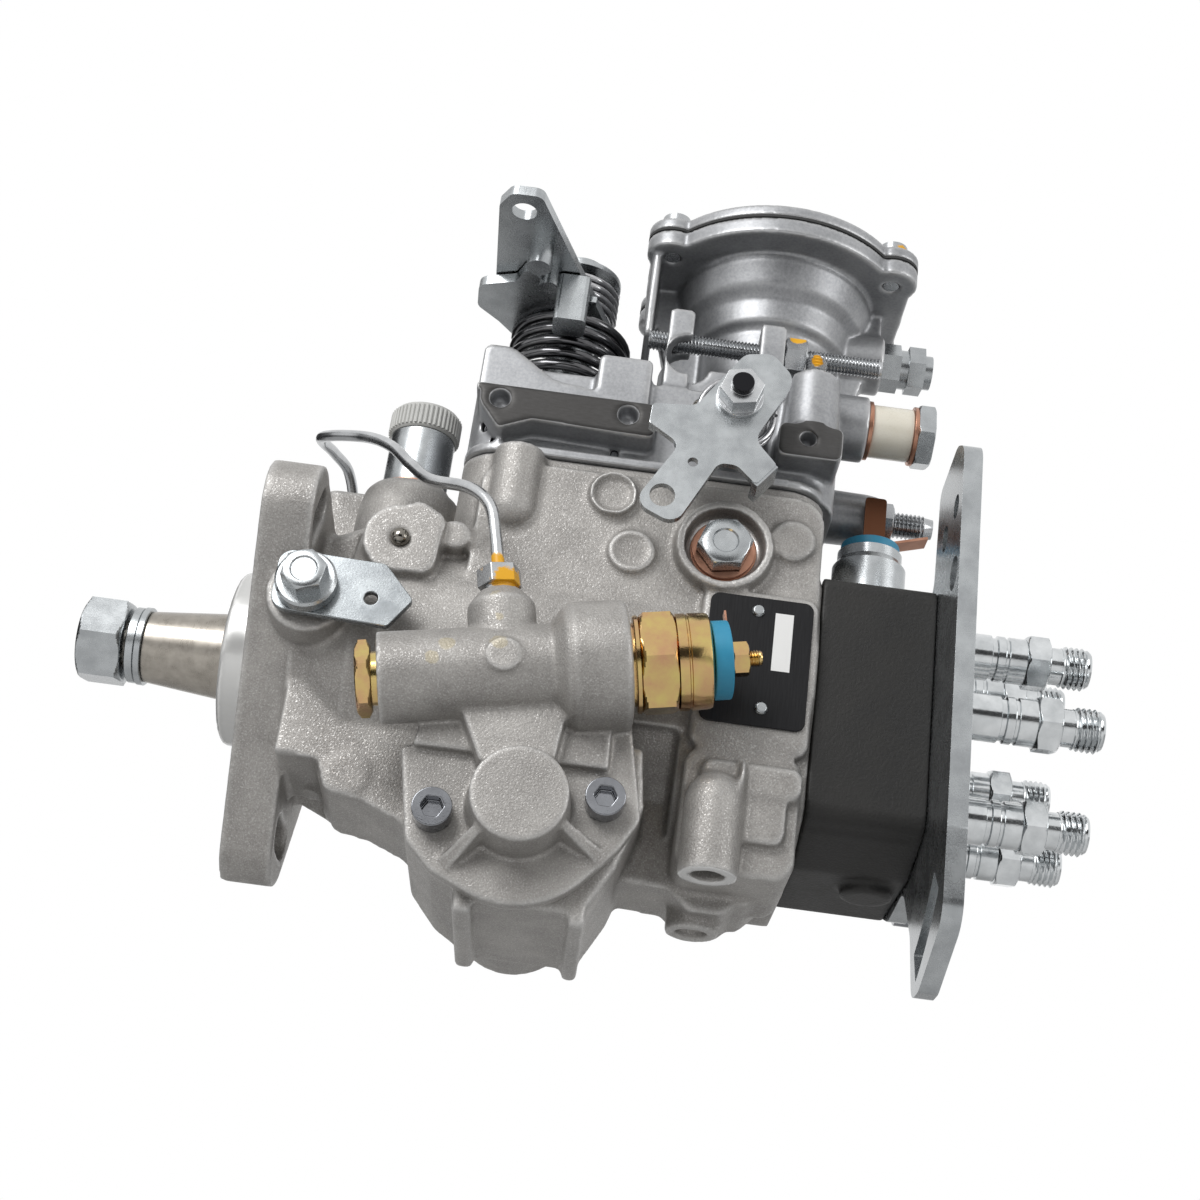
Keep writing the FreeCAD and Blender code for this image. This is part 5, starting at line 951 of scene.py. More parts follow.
@dataclass
class Bar:
    """A turned bar, built along +X from rings, with hexagons and threads in its outline. Millimetres."""

    sides: int
    rings: List[Tuple[float, List[float]]] = field(default_factory=list)

    def round(self, *points: Tuple[float, float]) -> "Bar":
        """Adds round rings from (x, radius) points.

        Args:
            points: place along the bar and radius of each ring.

        Returns:
            The bar.
        """
        for x, radius in points:
            self.rings.append((x, [radius] * self.sides))
        return self

    def hexagon(self, start: float, end: float, flats: float, near: bool = True) -> "Bar":
        """Adds a hexagon whose corners are turned off at its end, and mostly at its beginning too.

        Args:
            start: where it begins along the bar.
            end: where it ends.
            flats: its width over two flats.
            near: whether the corners at its beginning are turned off.

        Returns:
            The bar.
        """
        apothem = flats / 2
        corner = apothem / math.cos(math.pi / 6)
        lead = 0.96 * apothem
        height = (corner - lead) / math.sqrt(3)
        outline = []
        for i in range(self.sides):
            angle = (TURN * i / self.sides + math.pi / 6) % (math.pi / 3) - math.pi / 6
            outline.append(apothem / math.cos(math.pi / 6 - abs(angle)))
        steps = [k / 4 * height for k in range(5)]
        places = [(start + step, lead + step * math.sqrt(3) if near else corner) for step in steps]
        places += [(end - step, lead + step * math.sqrt(3)) for step in reversed(steps)]
        for x, cone in places:
            self.rings.append((x, [min(radius, cone) for radius in outline]))
        return self

    def thread(self, start: float, end: float, radius: float, pitch: float, depth: float = 0.0) -> "Bar":
        """Adds a right-hand thread that fades out at its ends.

        Args:
            start: where it begins along the bar.
            end: where it ends.
            radius: the radius of its crests.
            pitch: its pitch.
            depth: how deep it is cut, or 0 for the usual share of the pitch.

        Returns:
            The bar.
        """
        depth = depth or 0.6 * pitch
        count = max(2, round((end - start) / pitch * 6))
        for k in range(count + 1):
            x = start + (end - start) * k / count
            fade = min(1.0, (x - start) / pitch + 0.35, (end - x) / pitch + 0.35)
            ring = []
            for i in range(self.sides):
                phase = ((x - start) / pitch - i / self.sides) % 1.0
                ring.append(radius - (1 - fade) * depth - fade * depth * abs(2 * phase - 1))
            self.rings.append((x, ring))
        return self

    def mesh(self, name: str, start: Point, direction: Point, side: Point) -> bpy.types.Mesh:
        """Closes the bar and puts it in its place.

        Args:
            name: the mesh's name.
            start: the place of the bar's x = 0, in millimetres.
            direction: the way the bar points.
            side: where its first corner points, across the bar.

        Returns:
            The mesh, in metres.
        """
        along = Vector(direction).normalized()
        first = Vector(side).normalized()
        second = along.cross(first)
        spokes = []
        for i in range(self.sides):
            angle = TURN * i / self.sides
            spokes.append(first * math.cos(angle) + second * math.sin(angle))
        point = [0.0] * self.sides
        rings = [(self.rings[0][0], point)] + self.rings + [(self.rings[-1][0], point)]
        rows = []
        for x, ring in rings:
            centre = Vector(start) + along * x
            rows.append([centre + spoke * radius for spoke, radius in zip(spokes, ring)])
        mesh = skinned(name, rows, False)
        smooth(mesh, SMOOTH_DEG)
        return mesh


def joined(name: str, meshes: Sequence[bpy.types.Mesh]) -> bpy.types.Object:
    """One object from several meshes.

    Args:
        name: the object's name.
        meshes: the meshes, which are used up.

    Returns:
        The object.
    """
    work = bmesh.new()
    for mesh in meshes:
        work.from_mesh(mesh)
    whole = as_mesh(work, name)
    smooth(whole, SMOOTH_DEG)
    for mesh in meshes:
        bpy.data.meshes.remove(mesh)
    return link(name, whole)


class Grower(Tree):
    """A geometry tree with named inputs that ends in real, dressed geometry."""

    def __init__(self, name: str) -> None:
        """Starts an empty geometry tree.

        Args:
            name: the tree's name.
        """
        super().__init__(bpy.data.node_groups.new(name, "GeometryNodeTree"))
        self.tree.interface.new_socket("Geometry", in_out="INPUT", socket_type="NodeSocketGeometry")
        self.tree.interface.new_socket("Geometry", in_out="OUTPUT", socket_type="NodeSocketGeometry")
        self.entry = self.tree.nodes.new("NodeGroupInput")
        self.identifiers: Dict[str, str] = {}

    def base(self) -> Value:
        """The geometry of the object that the tree is used on."""
        return self.out(self.entry, 0)

    def ask(self, name: str, kind: str = "Float") -> Value:
        """Adds a named input.

        Args:
            name: the input's name.
            kind: Float, Int or Vector.

        Returns:
            The input's value.
        """
        socket = self.tree.interface.new_socket(name, in_out="INPUT", socket_type="NodeSocket" + kind)
        self.identifiers[name] = socket.identifier
        return self.out(self.entry, name)

    def close(self, geometry: Value, finish: Finish) -> "Grower":
        """Ends the tree: instances made real, then the material.

        Args:
            geometry: what the tree has made.
            finish: the piece's finish.

        Returns:
            The tree.
        """
        real = self.make("GeometryNodeRealizeInstances", None, {0: geometry})
        dressed = self.make("GeometryNodeSetMaterial", None,
            {"Geometry": real, "Material": finish.material()})
        end = self.tree.nodes.new("NodeGroupOutput")
        self.feed(end.inputs[0], dressed)
        return self

    def grow(self, name: str, sizes: Dict[str, object],
            base: Optional[bpy.types.Mesh] = None) -> bpy.types.Object:
        """Uses the tree once.

        Args:
            name: the new piece's name.
            sizes: the inputs by name.
            base: the mesh to start from.

        Returns:
            The piece, as a plain mesh.
        """
        piece = link(name, base or bpy.data.meshes.new(name))
        modifier = piece.modifiers.new("grow", "NODES")
        modifier.node_group = self.tree
        for key, value in sizes.items():
            modifier[self.identifiers[key]] = value
        return settle(piece)


def coil_tree(finish: Finish) -> Grower:
    """A tree for springs: a round wire wound about an upright axis.

    Args:
        finish: the wire's finish.

    Returns:
        The tree.
    """
    tree = Grower("wound_spring_" + finish.name)
    radius, wire, turns, height = (tree.ask(n) for n in ("Coil radius", "Wire radius", "Turns", "Height"))
    middle = tree.ask("Centre", "Vector")
    turned = tree.ask("Rotation", "Vector")
    spiral = tree.make("GeometryNodeCurveSpiral", None,
        {"Resolution": 40, "Rotations": turns, "Start Radius": radius, "End Radius": radius,
        "Height": height})
    ring = tree.make("GeometryNodeCurvePrimitiveCircle", None, {"Resolution": 14, "Radius": wire})
    mesh = tree.make("GeometryNodeCurveToMesh", None,
        {"Curve": spiral, "Profile Curve": ring, "Fill Caps": True})
    shaded = tree.make("GeometryNodeSetShadeSmooth", None, {0: mesh})
    moved = tree.make("GeometryNodeTransform", None,
        {"Geometry": shaded, "Translation": middle, "Rotation": turned})
    return tree.close(moved, finish)


def tube_tree(finish: Finish) -> Grower:
    """A tree for a bent tube: a smooth curve through a line's points.

    Args:
        finish: the tube's finish.

    Returns:
        The tree.
    """
    tree = Grower("bent_tube")
    radius, steps = tree.ask("Tube radius"), tree.ask("Steps", "Int")
    line = tree.make("GeometryNodeMeshToCurve", None, {0: tree.base()})
    curved = tree.make("GeometryNodeCurveSplineType", {"spline_type": "CATMULL_ROM"}, {"Curve": line})
    fine = tree.make("GeometryNodeSetSplineResolution", None, {0: curved, "Resolution": steps})
    turned = tree.make("GeometryNodeSetCurveNormal", {"mode": "MINIMUM_TWIST"}, {"Curve": fine})
    ring = tree.make("GeometryNodeCurvePrimitiveCircle", None, {"Resolution": 24, "Radius": radius})
    mesh = tree.make("GeometryNodeCurveToMesh", None,
        {"Curve": turned, "Profile Curve": ring, "Fill Caps": True})
    return tree.close(tree.make("GeometryNodeSetShadeSmooth", None, {0: mesh}), finish)


def circle_tree(finish: Finish) -> Grower:
    """A tree that repeats a piece made on the drive axis at even places of a circle about that axis.

    Args:
        finish: the piece's finish.

    Returns:
        The tree.
    """
    tree = Grower("on_outlet_circle")
    radius, count = tree.ask("Circle radius"), tree.ask("Count", "Int")
    circle = tree.make("GeometryNodeMeshCircle", None, {"Vertices": count, "Radius": radius})
    place = tree.make("GeometryNodeInputPosition")
    split = tree.node("ShaderNodeSeparateXYZ", None, {0: place})
    across = tree.make("ShaderNodeCombineXYZ", None, {"Y": tree.out(split, 0), "Z": tree.out(split, 1)})
    upright = tree.make("GeometryNodeSetPosition", None, {"Geometry": circle, "Position": across})
    return tree.close(tree.make("GeometryNodeInstanceOnPoints", None,
        {"Points": upright, "Instance": tree.base()}), finish)


def rib_tree(finish: Finish) -> Grower:
    """A tree for the grip ribs of a round cap.

    Args:
        finish: the ribs' finish.

    Returns:
        The tree.
    """
    tree = Grower("cap_ribs")
    radius, count = tree.ask("Cap radius"), tree.ask("Count", "Int")
    width, height = tree.ask("Rib width"), tree.ask("Rib height")
    middle = tree.ask("Centre", "Vector")
    circle = tree.make("GeometryNodeMeshCircle", None, {"Vertices": count, "Radius": radius})
    rib = tree.node("GeometryNodeMeshCylinder", None, {"Vertices": 8, "Radius": width, "Depth": height})
    many = tree.make("GeometryNodeInstanceOnPoints", None, {"Points": circle, "Instance": tree.out(rib)})
    return tree.close(tree.make("GeometryNodeTransform", None, {"Geometry": many, "Translation": middle}),
        finish)


X_AXIS: Point = (1, 0, 0)
Y_AXIS: Point = (0, 1, 0)
Z_AXIS: Point = (0, 0, 1)
NEAR: Point = (0, -1, 0)


def turned_side(turn_deg: float, axis: Axis) -> Point:
    """Direction of a hexagon's first corner, turned from the first axis across the bar.

    Args:
        turn_deg: how far the corner is turned.
        axis: the bar's axis.

    Returns:
        The direction.
    """
    angle = math.radians(turn_deg)
    a, b = math.cos(angle), math.sin(angle)
    return {Axis.X: (0, a, b), Axis.Y: (a, 0, b), Axis.Z: (a, b, 0)}[axis]


EAR_CIRCLE = 50.0           # radius on which the flange's slots lie, in millimetres
EAR_DEG = (25.0, 147.0, 272.0)
HEAD_ENDS = (150.0, 181.0)  # the head's ends along the drive axis, in millimetres
HEAD_LOW = -45.5            # level of the head's lower edge


def ear_pockets() -> Changes:
    """Room for the nuts behind the three ears.

    Returns:
        A cut for each ear.
    """
    pockets = []
    for angle in EAR_DEG:
        y, z = EAR_CIRCLE * math.cos(math.radians(angle)), EAR_CIRCLE * math.sin(math.radians(angle))
        pockets.append((Change.CUT, turned(Axis.X, y, z, (14.0, 15.0), (24.0, 15.0))))
    return tuple(pockets)


def below_head(start: float, end: float, drop: float) -> Solid:
    """The space below the head's lower edge, its two corners turned off.

    Args:
        start: where it begins along the drive axis, in millimetres.
        end: where it ends.
        drop: how much lower it lies than the head's own edge.

    Returns:
        The solid to cut.
    """
    low = HEAD_LOW - drop
    return prism(Axis.X, start, end, (-41, -38.4, 0), (-18, low, 5), (18, low, 5), (41, -33, 0),
        (41, -70, 0), (-41, -70, 0))


@dataclass
class Castings:
    """The cast bodies of the pump, with the forms that only the finer shape shows. Millimetres."""

    housing_voxel: float = 0.85
    cover_voxel: float = 0.75
    small_voxel: float = 0.6
    port: Tuple[float, float] = (126.4, -47.0)
    ball: Tuple[float, float] = (37.4, 22.9)
    timing: Tuple[float, float] = (78.5, -52.0)
    gusset_deg: Tuple[float, float] = (-134.0, -24.5)

    def neck(self) -> Changes:
        """The wide neck behind the flange and the wall below it.

        Returns:
            The forms to add and cut.
        """
        neck = turned(Axis.X, 0, 0, (12, 38), (16, 38), (28, 43.4))
        web = prism(Axis.Y, -34, 0, (13, -6, 0), (13, -38, 0), (24.5, -38.5, 1), (27.5, -46.5, 4),
            (37.3, -48, 8), (48.3, -52.3, 8), (57, -62, 2), (60, -6, 0))
        mark = turned(Axis.Y, 33.0, -41.5, (-34.4, 5.6), (-33.0, 5.6))
        return ((Change.ADD, neck),) + ear_pockets() + ((Change.ADD, web), (Change.ADD, mark))

    def return_port(self) -> Changes:
        """The lobe below the head end and the upright port boss before it.

        Returns:
            The forms to add and cut.
        """
        x, y = self.port
        lobe = prism(Axis.Y, -26, 0, (104, -30, 0), (104, -57.5, 2), (118, -58, 3), (124, -63, 3),
            (133, -63, 3), (141, -55, 3), (149, -48, 2), (149, -30, 0))
        old = block(Axis.Y, -60, -44, (118.4, -42), (131.9, -24))
        boss = turned(Axis.Z, x, y, (-60.5, 7.5), (-40.5, 7.5), (-37.6, 6.9), (-35.0, 5.1), (-33.6, 2.8),
            (-33.0, 0.6))
        shelf = block(Axis.Y, -47.5, -20, (x - 4, -38), (148, -29), 3)
        bore = turned(Axis.Z, x, y, (-63, 4.2), (-39, 4.2))
        return ((Change.ADD, lobe), (Change.CUT, old), (Change.ADD, boss), (Change.ADD, shelf),
            (Change.CUT, bore))

    def plug_boss(self) -> Changes:
        """The square pad below the inlet with the small round boss of the ball plug.

        Returns:
            The forms to add and cut.
        """
        x, z = self.ball
        old = turned(Axis.Y, 36.5, 22.0, (-50, 10.6), (-45.2, 10.6))
        pad = prism(Axis.Y, -45.2, -10, (x - 8.5, 13, 4), (x + 9, 12, 4), (x + 10.5, z + 7, 4),
            (x + 3, z + 11, 4), (x - 8.5, z + 6, 4))
        boss = turned(Axis.Y, 50.4, 26.4, (-43.0, 4.2), (-36.0, 4.4))
        bridge = block(Axis.Y, -41.5, -34, (44, 24.6), (58, 28.4), 1)
        seat = turned(Axis.Y, 36.5, 22.0, (-50, 2.9), (-43.9, 2.9))
        return ((Change.CUT, old), (Change.ADD, pad), (Change.ADD, boss), (Change.ADD, bridge),
            (Change.CUT, seat))

    def head_end(self) -> Changes:
        """The lower edge of the end that carries the head.

        Returns:
            The forms to add and cut.
        """
        edge = prism(Axis.X, 118, HEAD_ENDS[0], (-40, -30, 0), (-40, -38, 6), (-18, -47.5, 6),
            (-18, -30, 0))
        return ((Change.CUT, below_head(149.0, HEAD_ENDS[0] + 1, 2.0)), (Change.ADD, edge))

    def head(self) -> Changes:
        """The head's lower side and the boss below it.

        Returns:
            The forms to add and cut.
        """
        start, end = HEAD_ENDS
        edge = prism(Axis.X, start, end, (-40, -30, 0), (-40, -38, 4), (-18, HEAD_LOW, 6), (0, HEAD_LOW, 0),
            (0, -40, 0), (-30, -30, 0))
        boss = turned(Axis.Z, 171.5, -9.0, (-48.6, 6.2), (-48.0, 7.0), (-43.5, 7.2))
        return ((Change.ADD, edge), (Change.CUT, below_head(start - 1, end + 1, 0.0)), (Change.ADD, boss))

    def rail(self) -> Changes:
        """The set-back blocks above the machined rail and the side wall of the bowl.

        Returns:
            The forms to add and cut.
        """
        above = block(Axis.Y, -45, -39.5, (48, 74.2), (98.2, 95))
        side = prism(Axis.X, 93.35, 95.7, (-22.5, 141.0, 0), (-21.5, 112, 2), (0, 106, 2), (18.5, 141.0, 0))
        return ((Change.CUT, above), (Change.ADD, side))

    def timing_cover(self) -> Changes:
        """Tapered gussets on the timing cover's boss, and the wedge between it and the valve's barrel.

        Returns:
            The forms to add and cut.
        """
        x, z = self.timing
        changes: List[Tuple[Change, Solid]] = []
        for degrees in self.gusset_deg:
            old = self.strip(degrees, 14.0, 24.5, 2.6)
            foot = self.strip(degrees, 8.0, 25.0, 1.9)
            top = self.strip(degrees, 8.0, 12.6, 1.2)
            changes.append((Change.CUT, Solid(Axis.Y, ((-61.0, old), (-55.05, old)))))
            changes.append((Change.ADD, Solid(Axis.Y, ((-54.0, foot), (-64.0, top)))))
        wedge = prism(Axis.Y, -63.5, -52, (x - 18.5, z + 23, 0), (x + 9, z + 28, 0), (x + 7.0, z + 9, 1),
            (x - 11, z + 8, 1))
        disc = turned(Axis.Y, 70.0, -19.0, (-72.3, 4.4), (-65.0, 4.9))
        return tuple(changes) + ((Change.ADD, wedge), (Change.ADD, disc))

    def strip(self, degrees: float, start: float, end: float,
            half: float) -> Tuple[Tuple[float, float], ...]:
        """Corners of a strip that runs outwards from the timing piston's axis.

        Args:
            degrees: the strip's angle from the frame's X axis.
            start: how far its near end is from the piston's axis.
            end: how far its far end is.
            half: half of its width.

        Returns:
            The four corners in the frame.
        """
        x, z = self.timing
        along = Vector((math.cos(math.radians(degrees)), math.sin(math.radians(degrees))))
        across = Vector((-along.y, along.x))
        corners = []
        for reach, side in ((start, -half), (end, -half), (end, half), (start, half)):
            point = along * reach + across * side
            corners.append((x + point.x, z + point.y))
        return tuple(corners)

    def build(self) -> None:
        """Makes each casting."""
        housing = self.neck() + self.return_port() + self.plug_boss() + self.head_end()
        Casting("pump_housing", self.housing_voxel, 4, changes=housing).build()
        Casting("governor_cover", self.cover_voxel, 3, changes=self.rail()).build()
        Casting("cold_start_cover", self.small_voxel, 4, 120000, changes=self.timing_cover()).build()
        Casting("timing_far_cover", self.small_voxel, 4, 40000).build()
        Casting("aneroid_cover", self.small_voxel, 3, 120000).build()
        Casting("distributor_head", 0.8, 3, 120000, changes=self.head()).build()


@dataclass
class Outlets:
    """The six delivery valve holders and the centre plug of the head. Millimetres."""

    circle: float = 28.1
    count: int = 6
    seat: float = 172.0
    body: float = 6.4
    groove: float = 203.85
    hex_start: float = 210.45
    neck_start: float = 217.05
    thread_start: float = 220.65
    end: float = 228.65
    thread_radius: float = 6.0
    flats: float = 14.0

    def build(self) -> None:
        """Makes the holders and the plug."""
        bar = Bar(54)
        bar.round((self.seat, self.body), (self.groove - 3.2, self.body),
            (self.groove - 2.9, self.body - 0.7), (self.groove - 1.7, self.body - 0.7),
            (self.groove - 1.4, self.body), (self.groove + 0.6, self.body),
            (self.groove + 0.9, self.body - 0.5), (self.groove + 1.6, self.body - 0.5),
            (self.groove + 1.9, self.body), (self.hex_start, self.body))
        bar.hexagon(self.hex_start, self.neck_start, self.flats)
        bar.round((self.neck_start, 5.15), (self.thread_start, 5.15))
        bar.thread(self.thread_start, self.end - 0.6, self.thread_radius, 1.5, 0.8)
        bar.round((self.end, 5.0), (self.end, 3.3), (self.end - 2.4, 1.6), (self.end - 12, 1.6))
        mesh = bar.mesh("delivery_valve_holder", (0, 0, 0), X_AXIS, turned_side(15, Axis.X))
        finish = OUTLET_ZINC
        many = circle_tree(finish).grow("delivery_valve_holders_turned",
            {"Circle radius": self.circle * MM, "Count": self.count}, mesh)
        smooth(many.data, SMOOTH_DEG)
        dress(many, "delivery_valve_holders", finish)
        eased("head_centre_plug", 0.3)


@dataclass
class Fasteners:
    """Bolts, nuts and adjusting screws. Millimetres."""

    rod_y: float = -27.0
    rod_z: float = 105.9
    full_load: Tuple[float, float] = (6.0, 73.4)
    bolt: Tuple[float, float] = (122.3, 32.5)
    lift: Tuple[float, float] = (16.0, 1.5)

    def adjusting_screws(self) -> None:
        """The long speed screw with its nut, the upright idle screw and the full-load screw."""
        rod = Bar(32).round((94.9, 2.4), (95.4, 2.9)).thread(95.4, 163.0, 3.0, 1.0).round((163.5, 2.3))
        nut = Bar(48).round((134.6, 3.0)).hexagon(134.6, 141.2, 10.0).round((141.2, 3.0))
        upright = Bar(32).round((86.0, 2.9)).thread(86.0, 100.5, 3.0, 1.0).round((101.0, 2.3))
        full = Bar(32).round((144.0, 4.0)).thread(145.0, 184.0, 4.0, 1.25).round((186.5, 3.0))
        full_nut = Bar(48).round((170.0, 4.0)).hexagon(170.0, 174.5, 11.0).round((174.5, 4.0))
        line = (0, self.rod_y, self.rod_z)
        low = (0,) + self.full_load
        parts = [rod.mesh("rod", line, X_AXIS, Y_AXIS),
            nut.mesh("nut", line, X_AXIS, turned_side(8, Axis.X)),
            upright.mesh("upright", (143.5, -36.0, 0), Z_AXIS, X_AXIS),
            full.mesh("full", low, X_AXIS, Y_AXIS),
            full_nut.mesh("full_nut", low, X_AXIS, turned_side(12, Axis.X))]
        dress(joined("adjusting_screws_threaded", parts), "adjusting_screws", ROD_ZINC)

    def hex_bolts(self) -> None:
        """Pivot bolts on both sides and the lifting bracket's bolt."""
        x, z = self.bolt
        near = Bar(48).round((-20.0, 3.0), (0.0, 3.0), (0.0, 6.1), (0.5, 6.2))
        near.hexagon(0.5, 5.5, 13.0, False)
        far = Bar(48).round((-30.7, 3.0), (0.0, 3.0)).hexagon(0.0, 5.5, 13.0, False)
        lift = Bar(48).round((-16.2, 4.1), (0.0, 4.1), (0.0, 7.6), (0.3, 8.0), (3.4, 8.0), (4.0, 7.4))
        lift.hexagon(4.0, 9.5, 10.5, False)
        for bar, start in ((near, 5.5), (far, 5.5), (lift, 9.5)):
            bar.round((start, 3.6), (start - 0.5, 3.2))
        parts = [near.mesh("near", (x, -42.5, z), NEAR, turned_side(10, Axis.Y)),
            far.mesh("far", (x, 43.0, z), Y_AXIS, turned_side(10, Axis.Y)),
            lift.mesh("lift", (self.lift[0], -52.2, self.lift[1]), NEAR, turned_side(20, Axis.Y))]
        dress(joined("hex_bolts_turned", parts), "hex_bolts", FINISHES["zinc_steel"])

    def build(self) -> None:
        """Makes every fastener."""
        self.adjusting_screws()
        self.hex_bolts()
        for node, width in (("socket_screws", 0.3), ("aneroid_screws", 0.25), ("tube_nuts", 0.3),
                ("overflow_bolt", 0.3), ("boost_fitting", 0.3), ("shutoff_solenoid", 0.3),
                ("stop_shaft", 0.25), ("throttle_shaft", 0.3), ("sealing_washers", 0.15),
                ("nameplate_rivets", 0.2), ("inlet_fitting", 0.4)):
            eased(node, width, {"tube_nuts": TUBE_ZINC, "stop_shaft": STOP_STEEL,
                "aneroid_screws": ROD_ZINC, "socket_screws": SCREW_CHROME}.get(node))


@dataclass
class ColdStartValve:
    """Plug and solenoid of the cold start valve, on an axis that rises towards the outlets. Millimetres."""

    start: Point = (39.5, -60.0, -25.0)
    tilt_deg: float = 11.5
    collar_end: float = 62.3
    length: float = 20.8

    def along(self) -> Point:
        """Direction of the valve's axis."""
        angle = math.radians(self.tilt_deg)
        return (math.cos(angle), 0.0, math.sin(angle))

    def build(self) -> None:
        """Makes the plug and the solenoid."""
        gold = FINISHES["gold_chromate"]
        plug = Bar(48).round((-5.5, 5.0)).hexagon(-5.5, -1.5, 17.0)
        plug.round((-1.5, 6.8), (0.0, 6.8), (0.0, 5.0), (8.0, 5.0))
        dress(joined("cold_start_plug_turned", [plug.mesh("plug", self.start, self.along(), Y_AXIS)]),
            "cold_start_plug", gold)
        x0 = self.collar_end
        end = x0 + self.length
        body = Bar(60).round((x0 - 7, 10.5), (x0 + 1.5, 10.5), (x0 + 1.5, 12.1), (x0 + 1.8, 12.4),
            (x0 + 2.7, 12.4))
        body.hexagon(x0 + 2.7, x0 + 12.3, 24.0)
        body.round((x0 + 12.3, 12.3), (x0 + 14.6, 12.3), (x0 + 14.8, 12.0), (x0 + 15.2, 12.0),
            (x0 + 15.4, 12.3), (end - 1.2, 12.2), (end - 0.4, 11.9), (end, 11.2), (end, 2.2))
        body.thread(end, end + 12.6, 2.2, 0.7).round((end + 13, 1.7))
        nut = Bar(48).round((end + 5.3, 2.2)).hexagon(end + 5.3, end + 9.6, 8.0).round((end + 9.6, 2.2))
        parts = [body.mesh("body", self.start, self.along(), turned_side(15, Axis.X)),
            nut.mesh("nut", self.start, self.along(), turned_side(10, Axis.X))]
        dress(joined("cold_start_solenoid_turned", parts), "cold_start_solenoid", gold)
        eased("solenoid_insulators", 0.4)
        eased("terminal_blades", 0.1)


@dataclass
class DriveEnd:
    """Shaft, nut and washers of the drive end. Millimetres."""

    nut_start: float = -51.0
    nut_length: float = 12.5
    flats: float = 22.0

    def build(self) -> None:
        """Makes the nut and dresses the shaft."""
        end = self.nut_start + self.nut_length
        nut = Bar(60).round((self.nut_start, 6.9))
        nut.hexagon(self.nut_start, end, self.flats).round((end, 6.9))
        plain = Bar(60).round((-34.9, 7.2), (-34.9, 10.8), (-34.7, 11.0), (-33.2, 11.0), (-33.0, 10.8),
            (-33.0, 7.2))
        spring = Bar(60).round((-37.5, 7.2), (-37.5, 10.3), (-37.2, 10.7), (-35.2, 10.7), (-34.9, 10.3),
            (-34.9, 7.2))
        parts = [nut.mesh("nut", (0, 0, 0), X_AXIS, turned_side(12, Axis.X)),
            plain.mesh("plain", (0, 0, 0), X_AXIS, Y_AXIS),
            spring.mesh("spring", (0, 0, 0), X_AXIS, Y_AXIS)]
        dress(joined("drive_nut_turned", parts), "drive_nut", FINISHES["zinc_steel"])
        eased("drive_shaft", 0.3, SHAFT_STEEL)


@dataclass
class Springs:
    """The torsion springs of the two levers. Millimetres."""

    throttle: Tuple[float, float] = (71.5, 0.0)
    stop: Tuple[float, float] = (121.4, 70.6)

    def build(self) -> None:
        """Winds the three springs."""
        dark = coil_tree(BLACK_SPRING)
        bright = coil_tree(SPRING_WIRE)
        x, y = self.throttle
        big = dark.grow("throttle_spring", {
            "Coil radius": 17.0 * MM, "Wire radius": 1.6 * MM, "Turns": 4.5, "Height": 19.5 * MM,
            "Centre": (x * MM, y * MM, 98.5 * MM)})
        small = bright.grow("damper_spring", {
            "Coil radius": 11.8 * MM, "Wire radius": 1.1 * MM, "Turns": 4.0, "Height": 10.8 * MM,
            "Centre": (x * MM, y * MM, 127.0 * MM)})
        stop = bright.grow("stop_spring", {
            "Coil radius": 10.3 * MM, "Wire radius": 0.9 * MM, "Turns": 2.0, "Height": 4.6 * MM,
            "Centre": (self.stop[0] * MM, -46.8 * MM, self.stop[1] * MM),
            "Rotation": (math.pi / 2, 0.0, 0.0)})
        dress(big, "return_springs", BLACK_SPRING)
        dress(small, "return_springs", SPRING_WIRE, False)
        dress(stop, "return_springs", SPRING_WIRE, False)


@dataclass
class FuelTube:
    """The steel tube from the cold start valve to the far side, in millimetres."""

    radius: float = 1.65
    steps: int = 10
    runs: Tuple[Point, ...] = ((66.09, -60.0, 2.35), (62.4, -60, 19.0), (59.4, -58, 28.5),
        (53.0, -53.5, 35.0), (41.6, -44, 41.0), (34.5, -36.5, 49.0), (27.0, -29, 58.2), (17.5, -20, 65.0),
        (3.6, -6.5, 70.6), (5.2, 9, 74.6), (8.8, 20, 74.8), (11.0, 28.0, 68.0), (11.0, 28.0, 57.0))

    def build(self) -> None:
        """Bends the tube along its runs."""
        line = bpy.data.meshes.new("tube_line")
        corners = [Vector(run) * MM for run in self.runs]
        line.from_pydata(corners, [(i, i + 1) for i in range(len(corners) - 1)], [])
        tube = tube_tree(TUBE_ZINC).grow("fuel_tube_bent",
            {"Tube radius": self.radius * MM, "Steps": self.steps}, line)
        dress(tube, "fuel_tube", TUBE_ZINC)


@dataclass
class Inlet:
    """The knurled dust cap on the fuel inlet. Millimetres."""

    centre: Tuple[float, float] = (32.3, 0.0)
    base: float = 77.2
    height: float = 8.5
    radius: float = 10.8
    ribs: int = 46

    def build(self) -> None:
        """Makes the cap's body and its grip ribs."""
        finish = FINISHES["cap_plastic"]
        x, y = self.centre
        top = self.base + self.height
        bar = Bar(64).round((self.base - 7, 2.6), (self.base - 7, 3.0), (self.base, 3.0), (self.base, 9.6),
            (self.base + 0.5, 10.1), (top - 1.3, 10.1), (top - 0.4, 9.6), (top, 8.8), (top, 6.6),
            (top - 0.7, 6.2))
        body = bar.mesh("cap_body", (x, y, 0), Z_AXIS, X_AXIS)
        dress(link("inlet_cap_moulded", body), "inlet_cap", finish)
        ribs = rib_tree(finish).grow("inlet_cap_ribs",
            {"Cap radius": 10.15 * MM, "Count": self.ribs, "Rib width": 0.5 * MM,
            "Rib height": (self.height - 2.2) * MM, "Centre": (x * MM, y * MM,
            (self.base + self.height / 2 - 0.4) * MM)})
        dress(ribs, "inlet_cap", finish, False)


